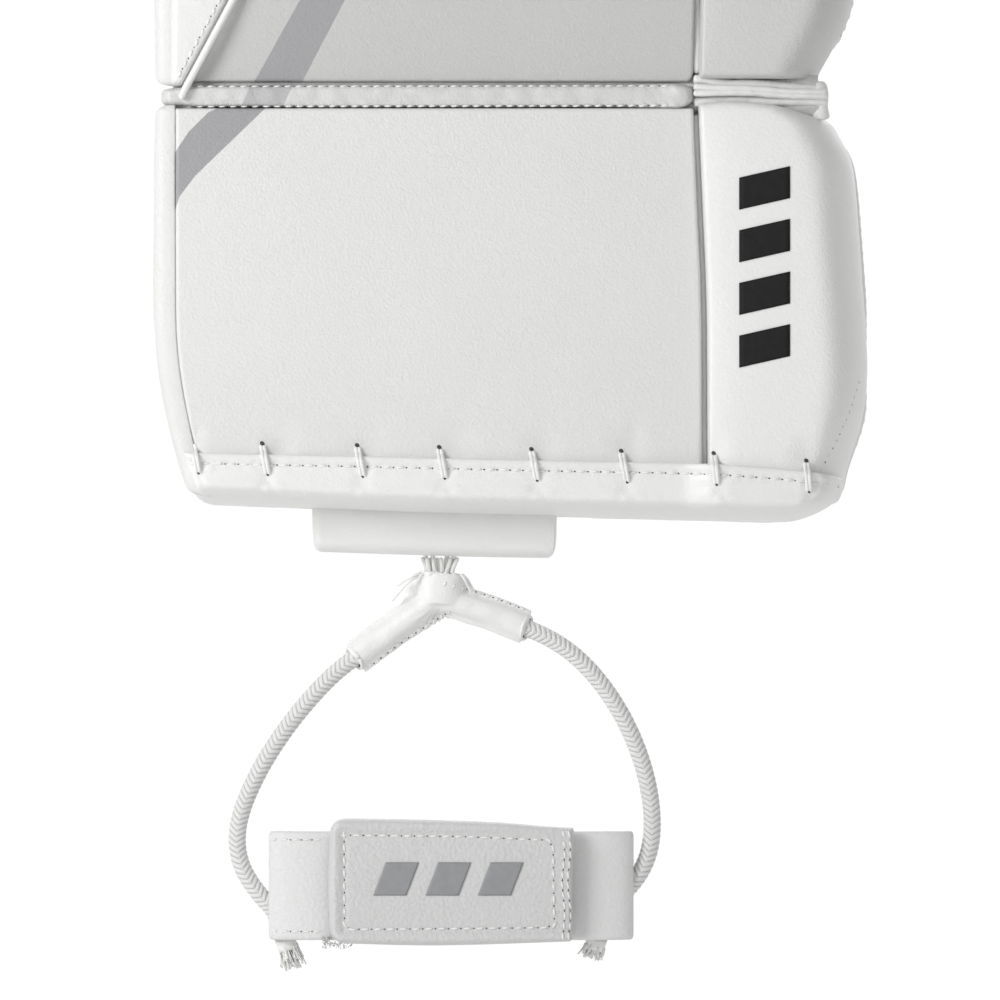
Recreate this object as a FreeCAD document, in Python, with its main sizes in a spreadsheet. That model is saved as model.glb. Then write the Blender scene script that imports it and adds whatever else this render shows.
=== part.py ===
"""Goalie leg pad for the left leg, as a parametric FreeCAD document.

+Z is up along the leg, +Y points back to the leg, +X to the outer side of the pad. The origin is the
middle of the pad's back face, level with the boot break. Everything is in millimetres.
"""

import FreeCAD, Part
import math
import os
import Sketcher

# Driving dimensions; each becomes an aliased cell of the sheet.
DIMENSIONS = {
    # front view
    "half_width": 140,
    "crease_x": 74,
    "crease_half": 0.6,
    "gusset_wall": 8,
    "outer_wall": 4,
    "skin": 2,
    # heights of the toe, the breaks and the top edge
    "toe_level": -164,
    "lower_knee": 290,
    "upper_knee": 470,
    "pad_top": 705,
    "break_half": 4,
    "rear_gap": 14,
    "end_taper": 6,
    # depths, back face at zero
    "lining": 1.5,
    "rear_core": 22,
    "stiffener": 3,
    "stiffener_edge": 6,
    "face_depth": 60,
    "roll_depth": 66,
    "gusset_depth": 52,
    "hinge_depth": 56,
    "band_radius": 3.4,
    # roundings
    "front_round": 8,
    "gusset_round": 5,
    # toe
    "binding_height": 24,
    "binding_inner_x": -132,
    "binding_outer_x": 133,
    "toe_cut_rise": 62,
    "toe_cut_run": 17.4,
    "lace_radius": 0.8,
    "lace_loop": 12,
    "lace_drop": 8,
    "flap_left": -78,
    "flap_right": 18,
    "flap_drop": 14,
    "flap_thick": 8,
    # toe tie, in one plane below the toe
    "tie_x": -28,
    "tie_y": -17,
    "tie_pivot": -184,
    "tie_lace_radius": 2.7,
    "tie_stem": 6,
    "strand_radius": 1.8,
    "strand_half": 3,
    "strand_clearance": 0.4,
    "hub_radius": 8.5,
    "hub_level": -197,
    "arm_radius": 6,
    "cord_diameter": 7,
    "knot_radius": 4.4,
    "inner_tail": 11,
    "outer_tail": 6,
    "strap_left": -97,
    "strap_right": 50,
    "strap_low": -331,
    "strap_high": -288,
    "strap_ply": 3.5,
    "strap_loop": 26,
    "tab_left": -72,
    "tab_right": 25,
    "tab_low": -333,
    "tab_high": -282,
    "tab_thick": 5,
    "tab_gap": 1.6,
    "tab_corner": 6,
    "hooks_inset": 10,
    "hooks_right": 30,
    # back of the pad
    "wall_thick": 42,
    "wall_depth": 112,
    "wall_round": 8,
    "cushion_round": 3,
    "boot_wall_inner": 14,
    "boot_wall_outer": 24,
    "liner_inset": 8,
    "cradle_inset": 4,
    "calf_low": 30,
    "calf_high": 254,
    "knee_low": 326,
    "knee_high": 450,
    "boot_wall_depth": 35,
    "boot_wall_thick": 34,
    "boot_wall_low": -140,
    "boot_wall_high": -22,
    "wing_x": 80,
    "wing_thick": 12,
    "wing_inset": 10,
    "wing_bend": 36,
    "wing_slope": 18,
    "wing_reach": 62,
    "wing_front": 4,
    "channel_left": -94,
    "channel_right": 62,
    "calf_liner": 9,
    "knee_cradle": 22,
    "webbing": 38,
    "webbing_thick": 3,
    "webbing_gap": 1,
    "strap_start": 6,
    "strap_lap": 20,
    "patch_inset": 10,
    "patch_thick": 0.8,
    "rivet_inset": 30,
    "rivet_half": 9,
    "lower_strap": 92,
    "upper_strap": 206,
    "knee_strap": 388,
    "rivet_radius": 4.5,
    "rivet_head": 1.6,
    # raised side panel of the shin
    "panel_edge": -84,
    "panel_rise": 84,
    "panel_thick": 3,
    "welt_radius": 1.8,
    "welt_gap": 0.15,
    "welt_lap": 5,
}

doc = FreeCAD.newDocument("GoalieLegPad")
sheet = doc.addObject("Spreadsheet::Sheet", "Dims")
for row, (alias, value) in enumerate(DIMENSIONS.items(), 1):
    sheet.set(f"A{row}", alias)
    sheet.set(f"B{row}", str(value))
    sheet.setAlias(f"B{row}", alias)
doc.recompute()


class Size:
    """A length that carries its formula in the sheet's cells with its value."""

    def __init__(self, text, value):
        self.text = text
        self.value = value

    def __add__(self, other):
        other = as_size(other)
        return Size(f"({self.text} + {other.text})", self.value + other.value)

    def __sub__(self, other):
        other = as_size(other)
        return Size(f"({self.text} - {other.text})", self.value - other.value)

    def __neg__(self):
        return Size(f"(0 - {self.text})", -self.value)

    def __mul__(self, factor):
        return Size(f"({self.text} * {factor})", self.value * factor)


def as_size(value):
    """A plain number or a Size, as a Size."""
    if isinstance(value, Size):
        return value
    return Size(str(value) if value >= 0 else f"(0 - {-value})", value)


def cell(alias):
    """The Size of one cell of the sheet."""
    return Size(f"Dims.{alias}", float(sheet.get(alias)))


def bind(thing, **sizes):
    """Bind properties of an object to sizes, by name; two underscores stand for a dot."""
    for name, size in sizes.items():
        thing.setExpression(name.replace("__", "."), as_size(size).text)


def hide_name(label, suffix):
    """A name for a helper that isn't a sub-part itself."""
    return f"{label}_{suffix}"


# ---------------------------------------------------------------- bodies


def add_sketch(body, role, corners, offset, suffix):
    """A closed polygon on one of the body's own origin planes, every corner bound to the sheet."""
    sketch = body.newObject("Sketcher::SketchObject", hide_name(body.Name, suffix))
    plane = next(f for f in body.Origin.OriginFeatures if f.Role == role)
    sketch.AttachmentSupport = [(plane, "")]
    sketch.MapMode = "FlatFace"
    points = [FreeCAD.Vector(as_size(a).value, as_size(b).value, 0) for a, b in corners]
    count = len(points)
    for start, end in zip(points, points[1:] + points[:1]):
        sketch.addGeometry(Part.LineSegment(start, end), False)
    for index in range(count):
        sketch.addConstraint(Sketcher.Constraint("Coincident", index, 2, (index + 1) % count, 1))
    for index, corner in enumerate(corners):
        for kind, size in zip(("DistanceX", "DistanceY"), map(as_size, corner)):
            made = sketch.addConstraint(Sketcher.Constraint(kind, -1, 1, index, 1, size.value))
            sketch.setExpression(f"Constraints[{made}]", size.text)
    bind(sketch, AttachmentOffset__Base__z=offset)
    return sketch


def add_prism(label, role, corners, low, high):
    """A body padded from a polygon on one origin plane, from low to high along the plane's normal."""
    body = doc.addObject("PartDesign::Body", label)
    body.Label = label
    low, high = as_size(low), as_size(high)
    pad = body.newObject("PartDesign::Pad", hide_name(label, "pad"))
    pad.Profile = add_sketch(body, role, corners, low, "outline")
    bind(pad, Length=high - low)
    body.Tip = pad
    doc.recompute()
    return body


def round_edges(body, chosen, radius):
    """Fillet the edges of the body's tip whose middle and direction the test accepts."""
    base = body.Tip
    names = [
        f"Edge{number}"
        for number, edge in enumerate(base.Shape.Edges, 1)
        if chosen(edge.CenterOfMass, edge.tangentAt(edge.FirstParameter))
    ]
    if not names:
        raise ValueError(f"no edge to round on {body.Label}")
    fillet = body.newObject("PartDesign::Fillet", hide_name(body.Name, "round"))
    fillet.Base = (base, names)
    bind(fillet, Radius=radius)
    body.Tip = fillet
    doc.recompute()
    return body


def pocket_through(body, role, corners, suffix):
    """Cut a polygon right through the body, both ways from its origin plane."""
    before = body.Tip.Shape.Volume
    pocket = body.newObject("PartDesign::Pocket", hide_name(body.Name, suffix))
    pocket.Profile = add_sketch(body, role, corners, 0, suffix + "_outline")
    pocket.Type = "ThroughAll"
    pocket.SideType = "Symmetric"
    body.Tip = pocket
    doc.recompute()
    if pocket.Shape.Volume >= before:
        raise ValueError(f"the pocket of {body.Label} cuts nothing")
    return body


def along(axis):
    """Test for an edge that runs along one axis."""
    return lambda middle, way: abs(way.dot(axis)) > 0.98


X = FreeCAD.Vector(1, 0, 0)
Y = FreeCAD.Vector(0, 1, 0)
Z = FreeCAD.Vector(0, 0, 1)


def add_slab(label, x, y, z):
    """A plain box from its limits along each axis."""
    box = doc.addObject("Part::Box", label)
    box.Label = label
    bind(
        box,
        Length=as_size(x[1]) - x[0],
        Width=as_size(y[1]) - y[0],
        Height=as_size(z[1]) - z[0],
        Placement__Base__x=x[0],
        Placement__Base__y=y[0],
        Placement__Base__z=z[0],
    )
    return box


def add_rod(label, radius, length, start, direction):
    """A round bar from a start point along a direction; the start is three sizes."""
    rod = doc.addObject("Part::Cylinder", label)
    rod.Label = label
    rod.Placement = FreeCAD.Placement(FreeCAD.Vector(), FreeCAD.Rotation(Z, direction))
    bind(rod, Radius=radius, Height=length)
    bind(rod, Placement__Base__x=start[0], Placement__Base__y=start[1], Placement__Base__z=start[2])
    return rod


def cut(label, base, tool):
    """Base less tool, as a sub-part."""
    result = doc.addObject("Part::Cut", label)
    result.Label = label
    result.Base = base
    result.Tool = tool
    return result


def fuse(label, pieces):
    """Several shapes as one solid."""
    result = doc.addObject("Part::MultiFuse", label)
    result.Label = label
    result.Shapes = pieces
    return result


def group(label, pieces):
    """Identical pieces as one sub-part of separate solids."""
    result = doc.addObject("Part::Compound", label)
    result.Label = label
    result.Links = pieces
    return result


# ---------------------------------------------------------------- shared sizes

half = cell("half_width")
skin = cell("skin")
lining = cell("lining")
break_half = cell("break_half")
face_right = cell("crease_x") - cell("crease_half")
roll_left = cell("crease_x") + cell("crease_half")
front_back = -(cell("rear_core") + cell("stiffener"))
inner_side = -half + cell("gusset_wall")
outer_side = half - cell("outer_wall")

# Each section's lower and upper end, and how far each end's rear stands back from it.
SECTIONS = {
    "boot": (cell("toe_level"), -break_half, as_size(0), cell("rear_gap")),
    "shin": (break_half, cell("lower_knee") - break_half, cell("rear_gap"), cell("rear_gap")),
    "knee": (
        cell("lower_knee") + break_half,
        cell("upper_knee") - break_half,
        cell("rear_gap"),
        cell("rear_gap"),
    ),
    "thigh": (cell("upper_knee") + break_half, cell("pad_top"), cell("rear_gap"), as_size(0)),
}

# The long sections that hold a plastic plate between their foams.
STIFFENED = ("shin", "thigh")


def trim_toe(body, inset):
    """Slant both lower corners of a boot piece towards the toe; inset is its distance inside the skin."""
    low = cell("toe_level") - 10
    start = cell("toe_level") + cell("toe_cut_rise")
    for side in (-1, 1):
        edge = (half - inset) * side
        reach = (half - inset - cell("toe_cut_run")) * side
        outside = (half + 10) * side
        corners = [(edge, start), (reach, low), (outside, low), (outside, start)]
        box = body.Tip.Shape.BoundBox
        touched = box.XMin < reach.value if side < 0 else box.XMax > reach.value
        if touched:
            pocket_through(body, "XZ_Plane", corners, "toe_cut_left" if side < 0 else "toe_cut_right")
    return body


def front_block(label, section, left, right, front, inset):
    """A foam block or its cover's outside, rounded all round its front."""
    low, high, lower_gap, upper_gap = SECTIONS[section]
    low_taper = cell("end_taper") if lower_gap.value else as_size(0)
    high_taper = cell("end_taper") if upper_gap.value else as_size(0)
    corners = [
        (-front + inset, low + inset),
        (front_back, low + low_taper + inset),
        (front_back, high - high_taper - inset),
        (-front + inset, high - inset),
    ]
    body = add_prism(label, "YZ_Plane", corners, left + inset, right - inset)
    if section == "boot":
        trim_toe(body, inset)
    face = -(front.value - inset.value)
    round_edges(body, lambda middle, way: abs(middle.y - face) < 0.01, cell("front_round") - inset)
    return body


def covered_block(section, part, left, right, front):
    """Foam block and the leather cover over its front, sides and ends."""
    foam = front_block(f"{section}_{part}_foam", section, left, right, front, skin)
    shell = front_block(f"{section}_{part}_former", section, left, right, front, as_size(0))
    return [foam, cut(f"{section}_{part}_cover", shell, foam)]


def rear_pieces(section):
    """Rear core, the stiffener plate of a long section, and the rear cover round back and sides."""
    low, high, lower_gap, upper_gap = SECTIONS[section]
    low = low + lower_gap
    high = high - upper_gap
    stiffened = section in STIFFENED
    core_front = -cell("rear_core") if stiffened else front_back
    core = add_prism(
        f"{section}_rear_core",
        "XY_Plane",
        [
            (inner_side, core_front),
            (outer_side, core_front),
            (outer_side, -lining),
            (inner_side, -lining),
        ],
        low,
        high,
    )
    cover = add_prism(
        f"{section}_rear_cover",
        "XY_Plane",
        [
            (-half, -cell("gusset_depth")),
            (inner_side, -cell("gusset_depth")),
            (inner_side, -lining),
            (outer_side, -lining),
            (outer_side, front_back),
            (half, front_back),
            (half, as_size(0)),
            (-half, as_size(0)),
        ],
        low,
        high,
    )
    if section == "boot":
        trim_toe(core, cell("gusset_wall") * 0.5)
        trim_toe(cover, as_size(0))
    round_edges(
        cover,
        lambda middle, way: abs(way.dot(Z)) > 0.9
        and middle.x < inner_side.value - 4
        and middle.y < -cell("gusset_depth").value + 1,
        cell("gusset_round"),
    )
    if not stiffened:
        return [core, cover]
    edge = cell("stiffener_edge")
    plate = add_prism(
        f"{section}_stiffener",
        "XY_Plane",
        [
            (inner_side + edge, front_back),
            (outer_side - edge, front_back),
            (outer_side - edge, core_front),
            (inner_side + edge, core_front),
        ],
        low + edge,
        high - edge,
    )
    return [core, cover, plate]


def section_pieces(section):
    """Everything that fills one section between two breaks."""
    return (
        covered_block(section, "face", inner_side, face_right, cell("face_depth"))
        + covered_block(section, "roll", roll_left, half, cell("roll_depth"))
        + rear_pieces(section)
    )


# ---------------------------------------------------------------- breaks and front trim


def break_bands():
    """A soft band on each flex axis, lying across the whole front."""
    bands = []
    levels = {"boot": as_size(0), "lower_knee": cell("lower_knee"), "upper_knee": cell("upper_knee")}
    for name, level in levels.items():
        start = (inner_side, -cell("hinge_depth"), level)
        bands.append(
            add_rod(f"{name}_break_band", cell("band_radius"), outer_side - inner_side, start, X)
        )
    return bands


def shin_panel():
    """Raised side panel of the shin, its front edge slanting down to the boot break."""
    low = break_half + cell("front_round")
    high = cell("lower_knee") - break_half - cell("front_round")
    left = inner_side + cell("gusset_round")
    edge = cell("panel_edge")
    corner = cell("panel_rise")
    panel = add_prism(
        "shin_side_panel",
        "XZ_Plane",
        [(left, low), (edge, corner), (edge, high), (left, high)],
        cell("face_depth"),
        cell("face_depth") + cell("panel_thick"),
    )
    slant = FreeCAD.Vector(edge.value - left.value, 0, corner.value - low.value)
    beside = cell("welt_radius") + cell("welt_gap")
    depth = -cell("face_depth") - cell("welt_radius")
    start = (left + beside * (slant.Length / slant.z), depth, low)
    welt = add_rod("panel_slant_rod", cell("welt_radius"), slant.Length, start, slant)
    lap = cell("welt_lap")
    upright_start = (edge + beside, depth, corner - lap)
    upright = add_rod("panel_upright_rod", cell("welt_radius"), high - corner, upright_start, Z)
    return [panel, fuse("shin_panel_welt", [welt, upright])]


def tray_outline(grow):
    """Outline of the toe binding in plan; grow is the distance outside the pieces it wraps."""
    left = cell("binding_inner_x") - grow
    right = cell("binding_outer_x") + grow
    step = cell("crease_x") - grow
    face = -cell("face_depth") - grow
    roll = -cell("roll_depth") - grow
    return [(left, face), (step, face), (step, roll), (right, roll), (right, grow), (left, grow)]


def toe_pieces():
    """Leather binding round the toe, its lacing and the folded flap of the toe bridge."""
    toe = cell("toe_level")
    top = toe + cell("binding_height")
    outside = add_prism("toe_binding_former", "XY_Plane", tray_outline(skin), toe - skin, top)
    inside = add_prism("toe_binding_inside", "XY_Plane", tray_outline(as_size(0)), toe, top + 1)
    binding = cut("toe_binding", outside, inside)

    laces = []
    pitch = (cell("binding_outer_x") - cell("binding_inner_x") - 24) * (1 / 7)
    for index in range(8):
        across = cell("binding_inner_x") + 8 + pitch * index
        on_roll = across.value > cell("crease_x").value
        depth = cell("roll_depth") if on_roll else cell("face_depth")
        start = (across, -depth - skin - cell("lace_radius"), top - cell("lace_drop"))
        laces.append(
            add_rod(f"lace_{index}", cell("lace_radius"), cell("lace_loop"), start, Z)
        )
    lacing = group("toe_lacing", laces)

    left, right = cell("flap_left"), cell("flap_right")
    high = toe - skin
    low = high - cell("flap_drop")
    back = cell("tie_y") - 5
    front = back - cell("flap_thick")
    flap = add_prism(
        "toe_bridge_flap",
        "YZ_Plane",
        [(front, low), (back, low), (back, high), (front, high)],
        left,
        right,
    )
    round_edges(
        flap,
        lambda middle, way: abs(way.dot(X)) > 0.98 and abs(middle.z - low.value) < 0.01,
        cell("flap_thick") * 0.48,
    )

    drop = high - cell("tie_pivot") - cell("tie_lace_radius") - cell("strand_clearance")
    strands = [
        add_rod(
            f"strand_{side}",
            cell("strand_radius"),
            drop,
            (cell("tie_x") + cell("strand_half") * side, cell("tie_y"), high),
            -Z,
        )
        for side in (-1, 1)
    ]
    return [binding, lacing, flap, group("toe_bridge_laces", strands)]


# ---------------------------------------------------------------- toe tie

# Each leg of the bungee cord, from the connector's mouth into the strap: across and height.
INNER_ROUTE = [
    (-60.0, -219.0),
    (-67.9, -224.4),
    (-80.5, -237.5),
    (-92.0, -252.5),
    (-101.5, -268.5),
    (-108.0, -285.5),
    (-107.5, -300.0),
    (-100.5, -312.0),
    (-91.5, -321.0),
    (-88.5, -332.0),
]
OUTER_ROUTE = [
    (4.0, -207.7),
    (13.5, -210.9),
    (28.0, -221.0),
    (40.5, -236.5),
    (49.5, -254.0),
    (55.0, -273.0),
    (56.0, -291.0),
    (52.0, -304.0),
    (43.5, -314.0),
    (36.0, -322.5),
    (33.5, -332.0),
]
BEND = 0.45


def cord_path(route):
    """Straight runs joined by tangent arcs, each arc as large as its two runs allow."""
    y = cell("tie_y").value
    points = [FreeCAD.Vector(a, y, b) for a, b in route]
    edges = []
    radii = []
    start = points[0]
    for before, corner, after in zip(points, points[1:], points[2:]):
        into = (corner - before).normalize()
        out = (after - corner).normalize()
        half_turn = into.getAngle(out) / 2
        reach = BEND * min((corner - before).Length, (after - corner).Length)
        radius = reach / math.tan(half_turn)
        first = corner - into * reach
        last = corner + out * reach
        centre = corner + (out - into).normalize() * (radius / math.cos(half_turn))
        middle = centre + (corner - centre).normalize() * radius
        edges.append(Part.LineSegment(start, first).toShape())
        edges.append(Part.Arc(first, middle, last).toShape())
        radii.append(radius)
        start = last
    edges.append(Part.LineSegment(start, points[-1]).toShape())
    wire = Part.Wire(edges)
    return wire, radii


def add_cord(label, route):
    """A round cord swept along its route."""
    wire, radii = cord_path(route)
    path = doc.addObject("Part::Feature", hide_name(label, "path"))
    path.Shape = wire
    section = doc.addObject("Part::Circle", hide_name(label, "section"))
    first = wire.Edges[0]
    direction = first.tangentAt(first.FirstParameter)
    section.Placement = FreeCAD.Placement(
        first.valueAt(first.FirstParameter), FreeCAD.Rotation(Z, direction)
    )
    bind(section, Radius=cell("cord_diameter") * 0.5)
    sweep = doc.addObject("Part::Sweep", label)
    sweep.Label = label
    sweep.Sections = [section]
    sweep.Spine = (path, [f"Edge{number}" for number in range(1, len(wire.Edges) + 1)])
    sweep.Solid = True
    sweep.Frenet = False
    doc.recompute()
    expected = math.pi * (cell("cord_diameter").value / 2) ** 2 * wire.Length
    print(
        f"{label}: length {wire.Length:.1f}, volume share {sweep.Shape.Volume / expected:.4f}, "
        f"radii {[round(radius) for radius in radii]}"
    )
    return sweep


def cord_end(label, route, length):
    """The frayed end of a cord, in line with its last run."""
    before, last = route[-2:]
    start = (as_size(last[0]), cell("tie_y"), as_size(last[1]))
    way = FreeCAD.Vector(last[0] - before[0], 0, last[1] - before[1])
    return add_rod(label, cell("knot_radius"), length, start, way)


def connector_arm(label, mouth):
    """One sleeve of the connector, from the hub to the mouth where the cord comes out."""
    hub = FreeCAD.Vector(cell("tie_x").value, cell("tie_y").value, cell("hub_level").value)
    way = FreeCAD.Vector(mouth[0], cell("tie_y").value, mouth[1]) - hub
    start = (cell("tie_x"), cell("tie_y"), cell("hub_level"))
    return add_rod(label, cell("arm_radius"), way.Length, start, way)


def slot_outline(label, inset, low, high):
    """A flat closed loop's outline in plan, its ends rounded, as an upright body."""
    depth = cell("strap_loop") * 0.5 - inset
    y = cell("tie_y")
    left = cell("strap_left") + inset
    right = cell("strap_right") - inset
    body = add_prism(
        label,
        "XY_Plane",
        [(left, y - depth), (right, y - depth), (right, y + depth), (left, y + depth)],
        low,
        high,
    )
    return round_edges(body, along(Z), depth * 0.96)


def tie_pieces():
    """Lace, connector, two legs of cord with their ends, closed strap and its tab."""
    pivot = cell("tie_pivot")
    x, y = cell("tie_x"), cell("tie_y")
    ball = doc.addObject("Part::Sphere", "lace_ball")
    bind(ball, Radius=cell("tie_lace_radius"), Placement__Base__x=x, Placement__Base__y=y)
    bind(ball, Placement__Base__z=pivot)
    stem = add_rod("lace_stem", cell("tie_lace_radius"), cell("tie_stem"), (x, y, pivot), -Z)
    lace = fuse("tie_lace", [ball, stem])

    hub = doc.addObject("Part::Sphere", "connector_hub")
    bind(hub, Radius=cell("hub_radius"), Placement__Base__x=x, Placement__Base__y=y)
    bind(hub, Placement__Base__z=cell("hub_level"))
    arms = [
        connector_arm("connector_inner_arm", INNER_ROUTE[0]),
        connector_arm("connector_outer_arm", OUTER_ROUTE[0]),
    ]
    connector = fuse("tie_connector", [hub] + arms)

    cords = [add_cord("bungee_inner", INNER_ROUTE), add_cord("bungee_outer", OUTER_ROUTE)]
    ends = [
        cord_end("bungee_inner_end", INNER_ROUTE, cell("inner_tail")),
        cord_end("bungee_outer_end", OUTER_ROUTE, cell("outer_tail")),
    ]

    low, high = cell("strap_low"), cell("strap_high")
    outside = slot_outline("strap_former", as_size(0), low, high)
    inside = slot_outline("strap_hollow", cell("strap_ply"), low - 1, high + 1)
    strap = cut("toe_strap", outside, inside)

    tab_back = y - cell("strap_loop") * 0.5 - cell("tab_gap")
    tab = add_prism(
        "toe_strap_tab",
        "XZ_Plane",
        [
            (cell("tab_left"), cell("tab_low")),
            (cell("tab_right"), cell("tab_low")),
            (cell("tab_right"), cell("tab_high")),
            (cell("tab_left"), cell("tab_high")),
        ],
        -tab_back,
        -tab_back + cell("tab_thick"),
    )
    round_edges(
        tab,
        lambda middle, way: abs(way.dot(Y)) > 0.98 and middle.x < cell("tab_left").value + 1,
        cell("tab_corner"),
    )
    hooks = add_slab(
        "toe_tab_hooks",
        (cell("tab_left") + cell("hooks_inset"), cell("tab_right") - cell("hooks_right")),
        (tab_back, tab_back + 1),
        (cell("tab_low") + cell("hooks_inset"), cell("tab_high") - cell("hooks_inset")),
    )
    return [lace, connector] + cords + ends + [strap, tab, hooks]


# ---------------------------------------------------------------- back of the pad


def padded_wall(label, left, right, depth, low, high):
    """A foam wall in leather that stands up from the pad's back."""
    corners = [(left, as_size(0)), (right, as_size(0)), (right, depth), (left, depth)]
    wall = add_prism(label, "XY_Plane", corners, low, high)
    round_edges(
        wall,
        lambda middle, way: abs(way.dot(Z)) > 0.98 and middle.y > depth.value - 1,
        cell("wall_round"),
    )
    return wall


def cushion(label, thick, low, high):
    """A flat soft cushion in the leg channel."""
    box = add_prism(
        label,
        "XY_Plane",
        [
            (cell("channel_left"), as_size(0)),
            (cell("channel_right"), as_size(0)),
            (cell("channel_right"), thick),
            (cell("channel_left"), thick),
        ],
        low,
        high,
    )
    return round_edges(
        box, lambda middle, way: abs(middle.y - thick.value) < 0.01, cell("cushion_round")
    )


def outer_wing(label, low, high):
    """A flap hinged at its outer rear corner that bends round the leg."""
    x = cell("wing_x")
    thick = cell("wing_thick")
    back = cell("wall_depth")
    start = cell("wing_front")
    inset = cell("wing_inset")
    tip = x - cell("wing_reach")
    bend = back - cell("wing_bend")
    shoulder = x - cell("wing_slope")
    corners = [
        (x, start),
        (x, bend),
        (shoulder, back),
        (tip, back),
        (tip, back - inset),
        (shoulder - inset * 0.6, back - inset),
        (x - thick, bend - inset * 0.6),
        (x - thick, start),
    ]
    return add_prism(label, "XY_Plane", corners, low, high)


def webbing(label, level):
    """A webbing strap across the leg channel, flat behind the wing and the inner wall."""
    low = level - cell("webbing") * 0.5
    front = cell("wall_depth") + cell("webbing_gap")
    return add_slab(
        label,
        (-half + cell("strap_start"), cell("wing_x") - cell("strap_lap")),
        (front, front + cell("webbing_thick")),
        (low, low + cell("webbing")),
    )


def wall_patch(label, level):
    """A hook-and-loop patch on the inner wall's rear face, under a strap's end."""
    low = level - cell("webbing") * 0.5 + 2
    back = cell("wall_depth")
    return add_slab(
        label,
        (-half + cell("patch_inset"), -half + cell("wall_thick") - cell("patch_inset")),
        (back, back + cell("patch_thick")),
        (low, low + cell("webbing") - 4),
    )


def strap_rivets(name, level):
    """Two rivet heads that hold a strap to its wing."""
    back = cell("wall_depth") + cell("webbing_gap") + cell("webbing_thick")
    return [
        add_rod(
            f"{name}_rivet_{index}",
            cell("rivet_radius"),
            cell("rivet_head"),
            (cell("wing_x") - cell("rivet_inset"), back, level + cell("rivet_half") * side),
            Y,
        )
        for index, side in enumerate((-1, 1))
    ]


def back_pieces():
    """Walls, cushions, wings and straps round the leg channel."""
    wall_right = -half + cell("wall_thick")
    calf = (cell("calf_low"), cell("calf_high"))
    knee = (cell("knee_low"), cell("knee_high"))
    boot = (cell("boot_wall_low"), cell("boot_wall_high"))
    depth = cell("wall_depth")
    boot_depth = cell("boot_wall_depth")
    inner = -half + cell("boot_wall_inner")
    outer = half - cell("boot_wall_outer")
    thick = cell("boot_wall_thick")
    inset = cell("liner_inset")
    cradle = cell("cradle_inset")
    pieces = [
        padded_wall("calf_inner_wall", -half, wall_right, depth, *calf),
        padded_wall("knee_inner_wall", -half, wall_right, depth, *knee),
        padded_wall("boot_inner_wall", inner, inner + thick, boot_depth, *boot),
        padded_wall("boot_outer_wall", outer - thick, outer, boot_depth, *boot),
        cushion("calf_liner", cell("calf_liner"), calf[0] + inset, calf[1] - inset),
        cushion("knee_cradle", cell("knee_cradle"), knee[0] + cradle, knee[1] - cradle),
        outer_wing("calf_wing", calf[0] + inset, calf[1]),
        outer_wing("knee_wing", *knee),
        webbing("knee_strap", cell("knee_strap")),
        wall_patch("knee_wall_patch", cell("knee_strap")),
        group("knee_rivets", strap_rivets("knee", cell("knee_strap"))),
    ]
    levels = {"lower": cell("lower_strap"), "upper": cell("upper_strap")}
    pieces.append(
        group("calf_straps", [webbing(f"{name}_strap", level) for name, level in levels.items()])
    )
    pieces.append(
        group(
            "calf_wall_patches",
            [wall_patch(f"{name}_patch", level) for name, level in levels.items()],
        )
    )
    rivets = []
    for name, level in levels.items():
        rivets += strap_rivets(name, level)
    pieces.append(group("calf_rivets", rivets))
    return pieces


def thigh_binding():
    """Leather binding folded over the top edge of the thigh rise."""
    top = cell("pad_top")
    low = top - cell("binding_height") * 0.75
    face = -cell("face_depth") - skin
    outside = add_prism(
        "thigh_binding_former",
        "XY_Plane",
        [
            (-half - skin, face),
            (cell("crease_x") - skin, face),
            (cell("crease_x") - skin, -cell("roll_depth") - skin),
            (half + skin, -cell("roll_depth") - skin),
            (half + skin, skin),
            (-half - skin, skin),
        ],
        low,
        top + skin,
    )
    inside = add_prism(
        "thigh_binding_inside",
        "XY_Plane",
        [
            (-half, -cell("face_depth")),
            (cell("crease_x"), -cell("face_depth")),
            (cell("crease_x"), -cell("roll_depth")),
            (half, -cell("roll_depth")),
            (half, as_size(0)),
            (-half, as_size(0)),
        ],
        low - 1,
        top,
    )
    return cut("thigh_top_binding", outside, inside)


# ---------------------------------------------------------------- build and write


def check(pieces):
    """Stop if any object failed or any sub-part has no valid shape."""
    doc.recompute()
    for thing in doc.Objects:
        if "Invalid" in thing.State or "Error" in thing.State:
            raise ValueError(f"{thing.Label} failed: {thing.State}")
    for piece in pieces:
        shape = piece.Shape
        if shape.isNull() or not shape.isValid() or not shape.Solids:
            raise ValueError(f"{piece.Label} has no valid solid")


def main():
    """Build every sub-part, check it and write it to its own file."""
    pieces = []
    for section in SECTIONS:
        pieces += section_pieces(section)
    pieces += break_bands()
    pieces += shin_panel()
    pieces += toe_pieces()
    pieces += tie_pieces()
    pieces += back_pieces()
    pieces.append(thigh_binding())
    check(pieces)
    os.makedirs("parts", exist_ok=True)
    for piece in pieces:
        piece.Shape.exportStep(os.path.join("parts", f"{piece.Label}.step"))
    print(f"{len(pieces)} sub-parts written")


main()
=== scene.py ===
"""Looks of a goalie leg pad: leather covers, stitching, toe lacing, bungee toe tie and leg channel.

Sizes are in millimetres and every mesh is brought to metres as it is finished. +Z runs up the leg,
-Y is the front of the pad and +X its outer side.
"""

import logging
import random
from bisect import bisect_right
from dataclasses import dataclass, field, replace
from enum import Enum
from math import atan2, copysign, cos, exp, hypot, pi, radians, sin, sqrt
from typing import Callable, Optional, Sequence

import bmesh
import bpy
from mathutils import Matrix, Vector, noise
from mathutils.bvhtree import BVHTree

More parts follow.
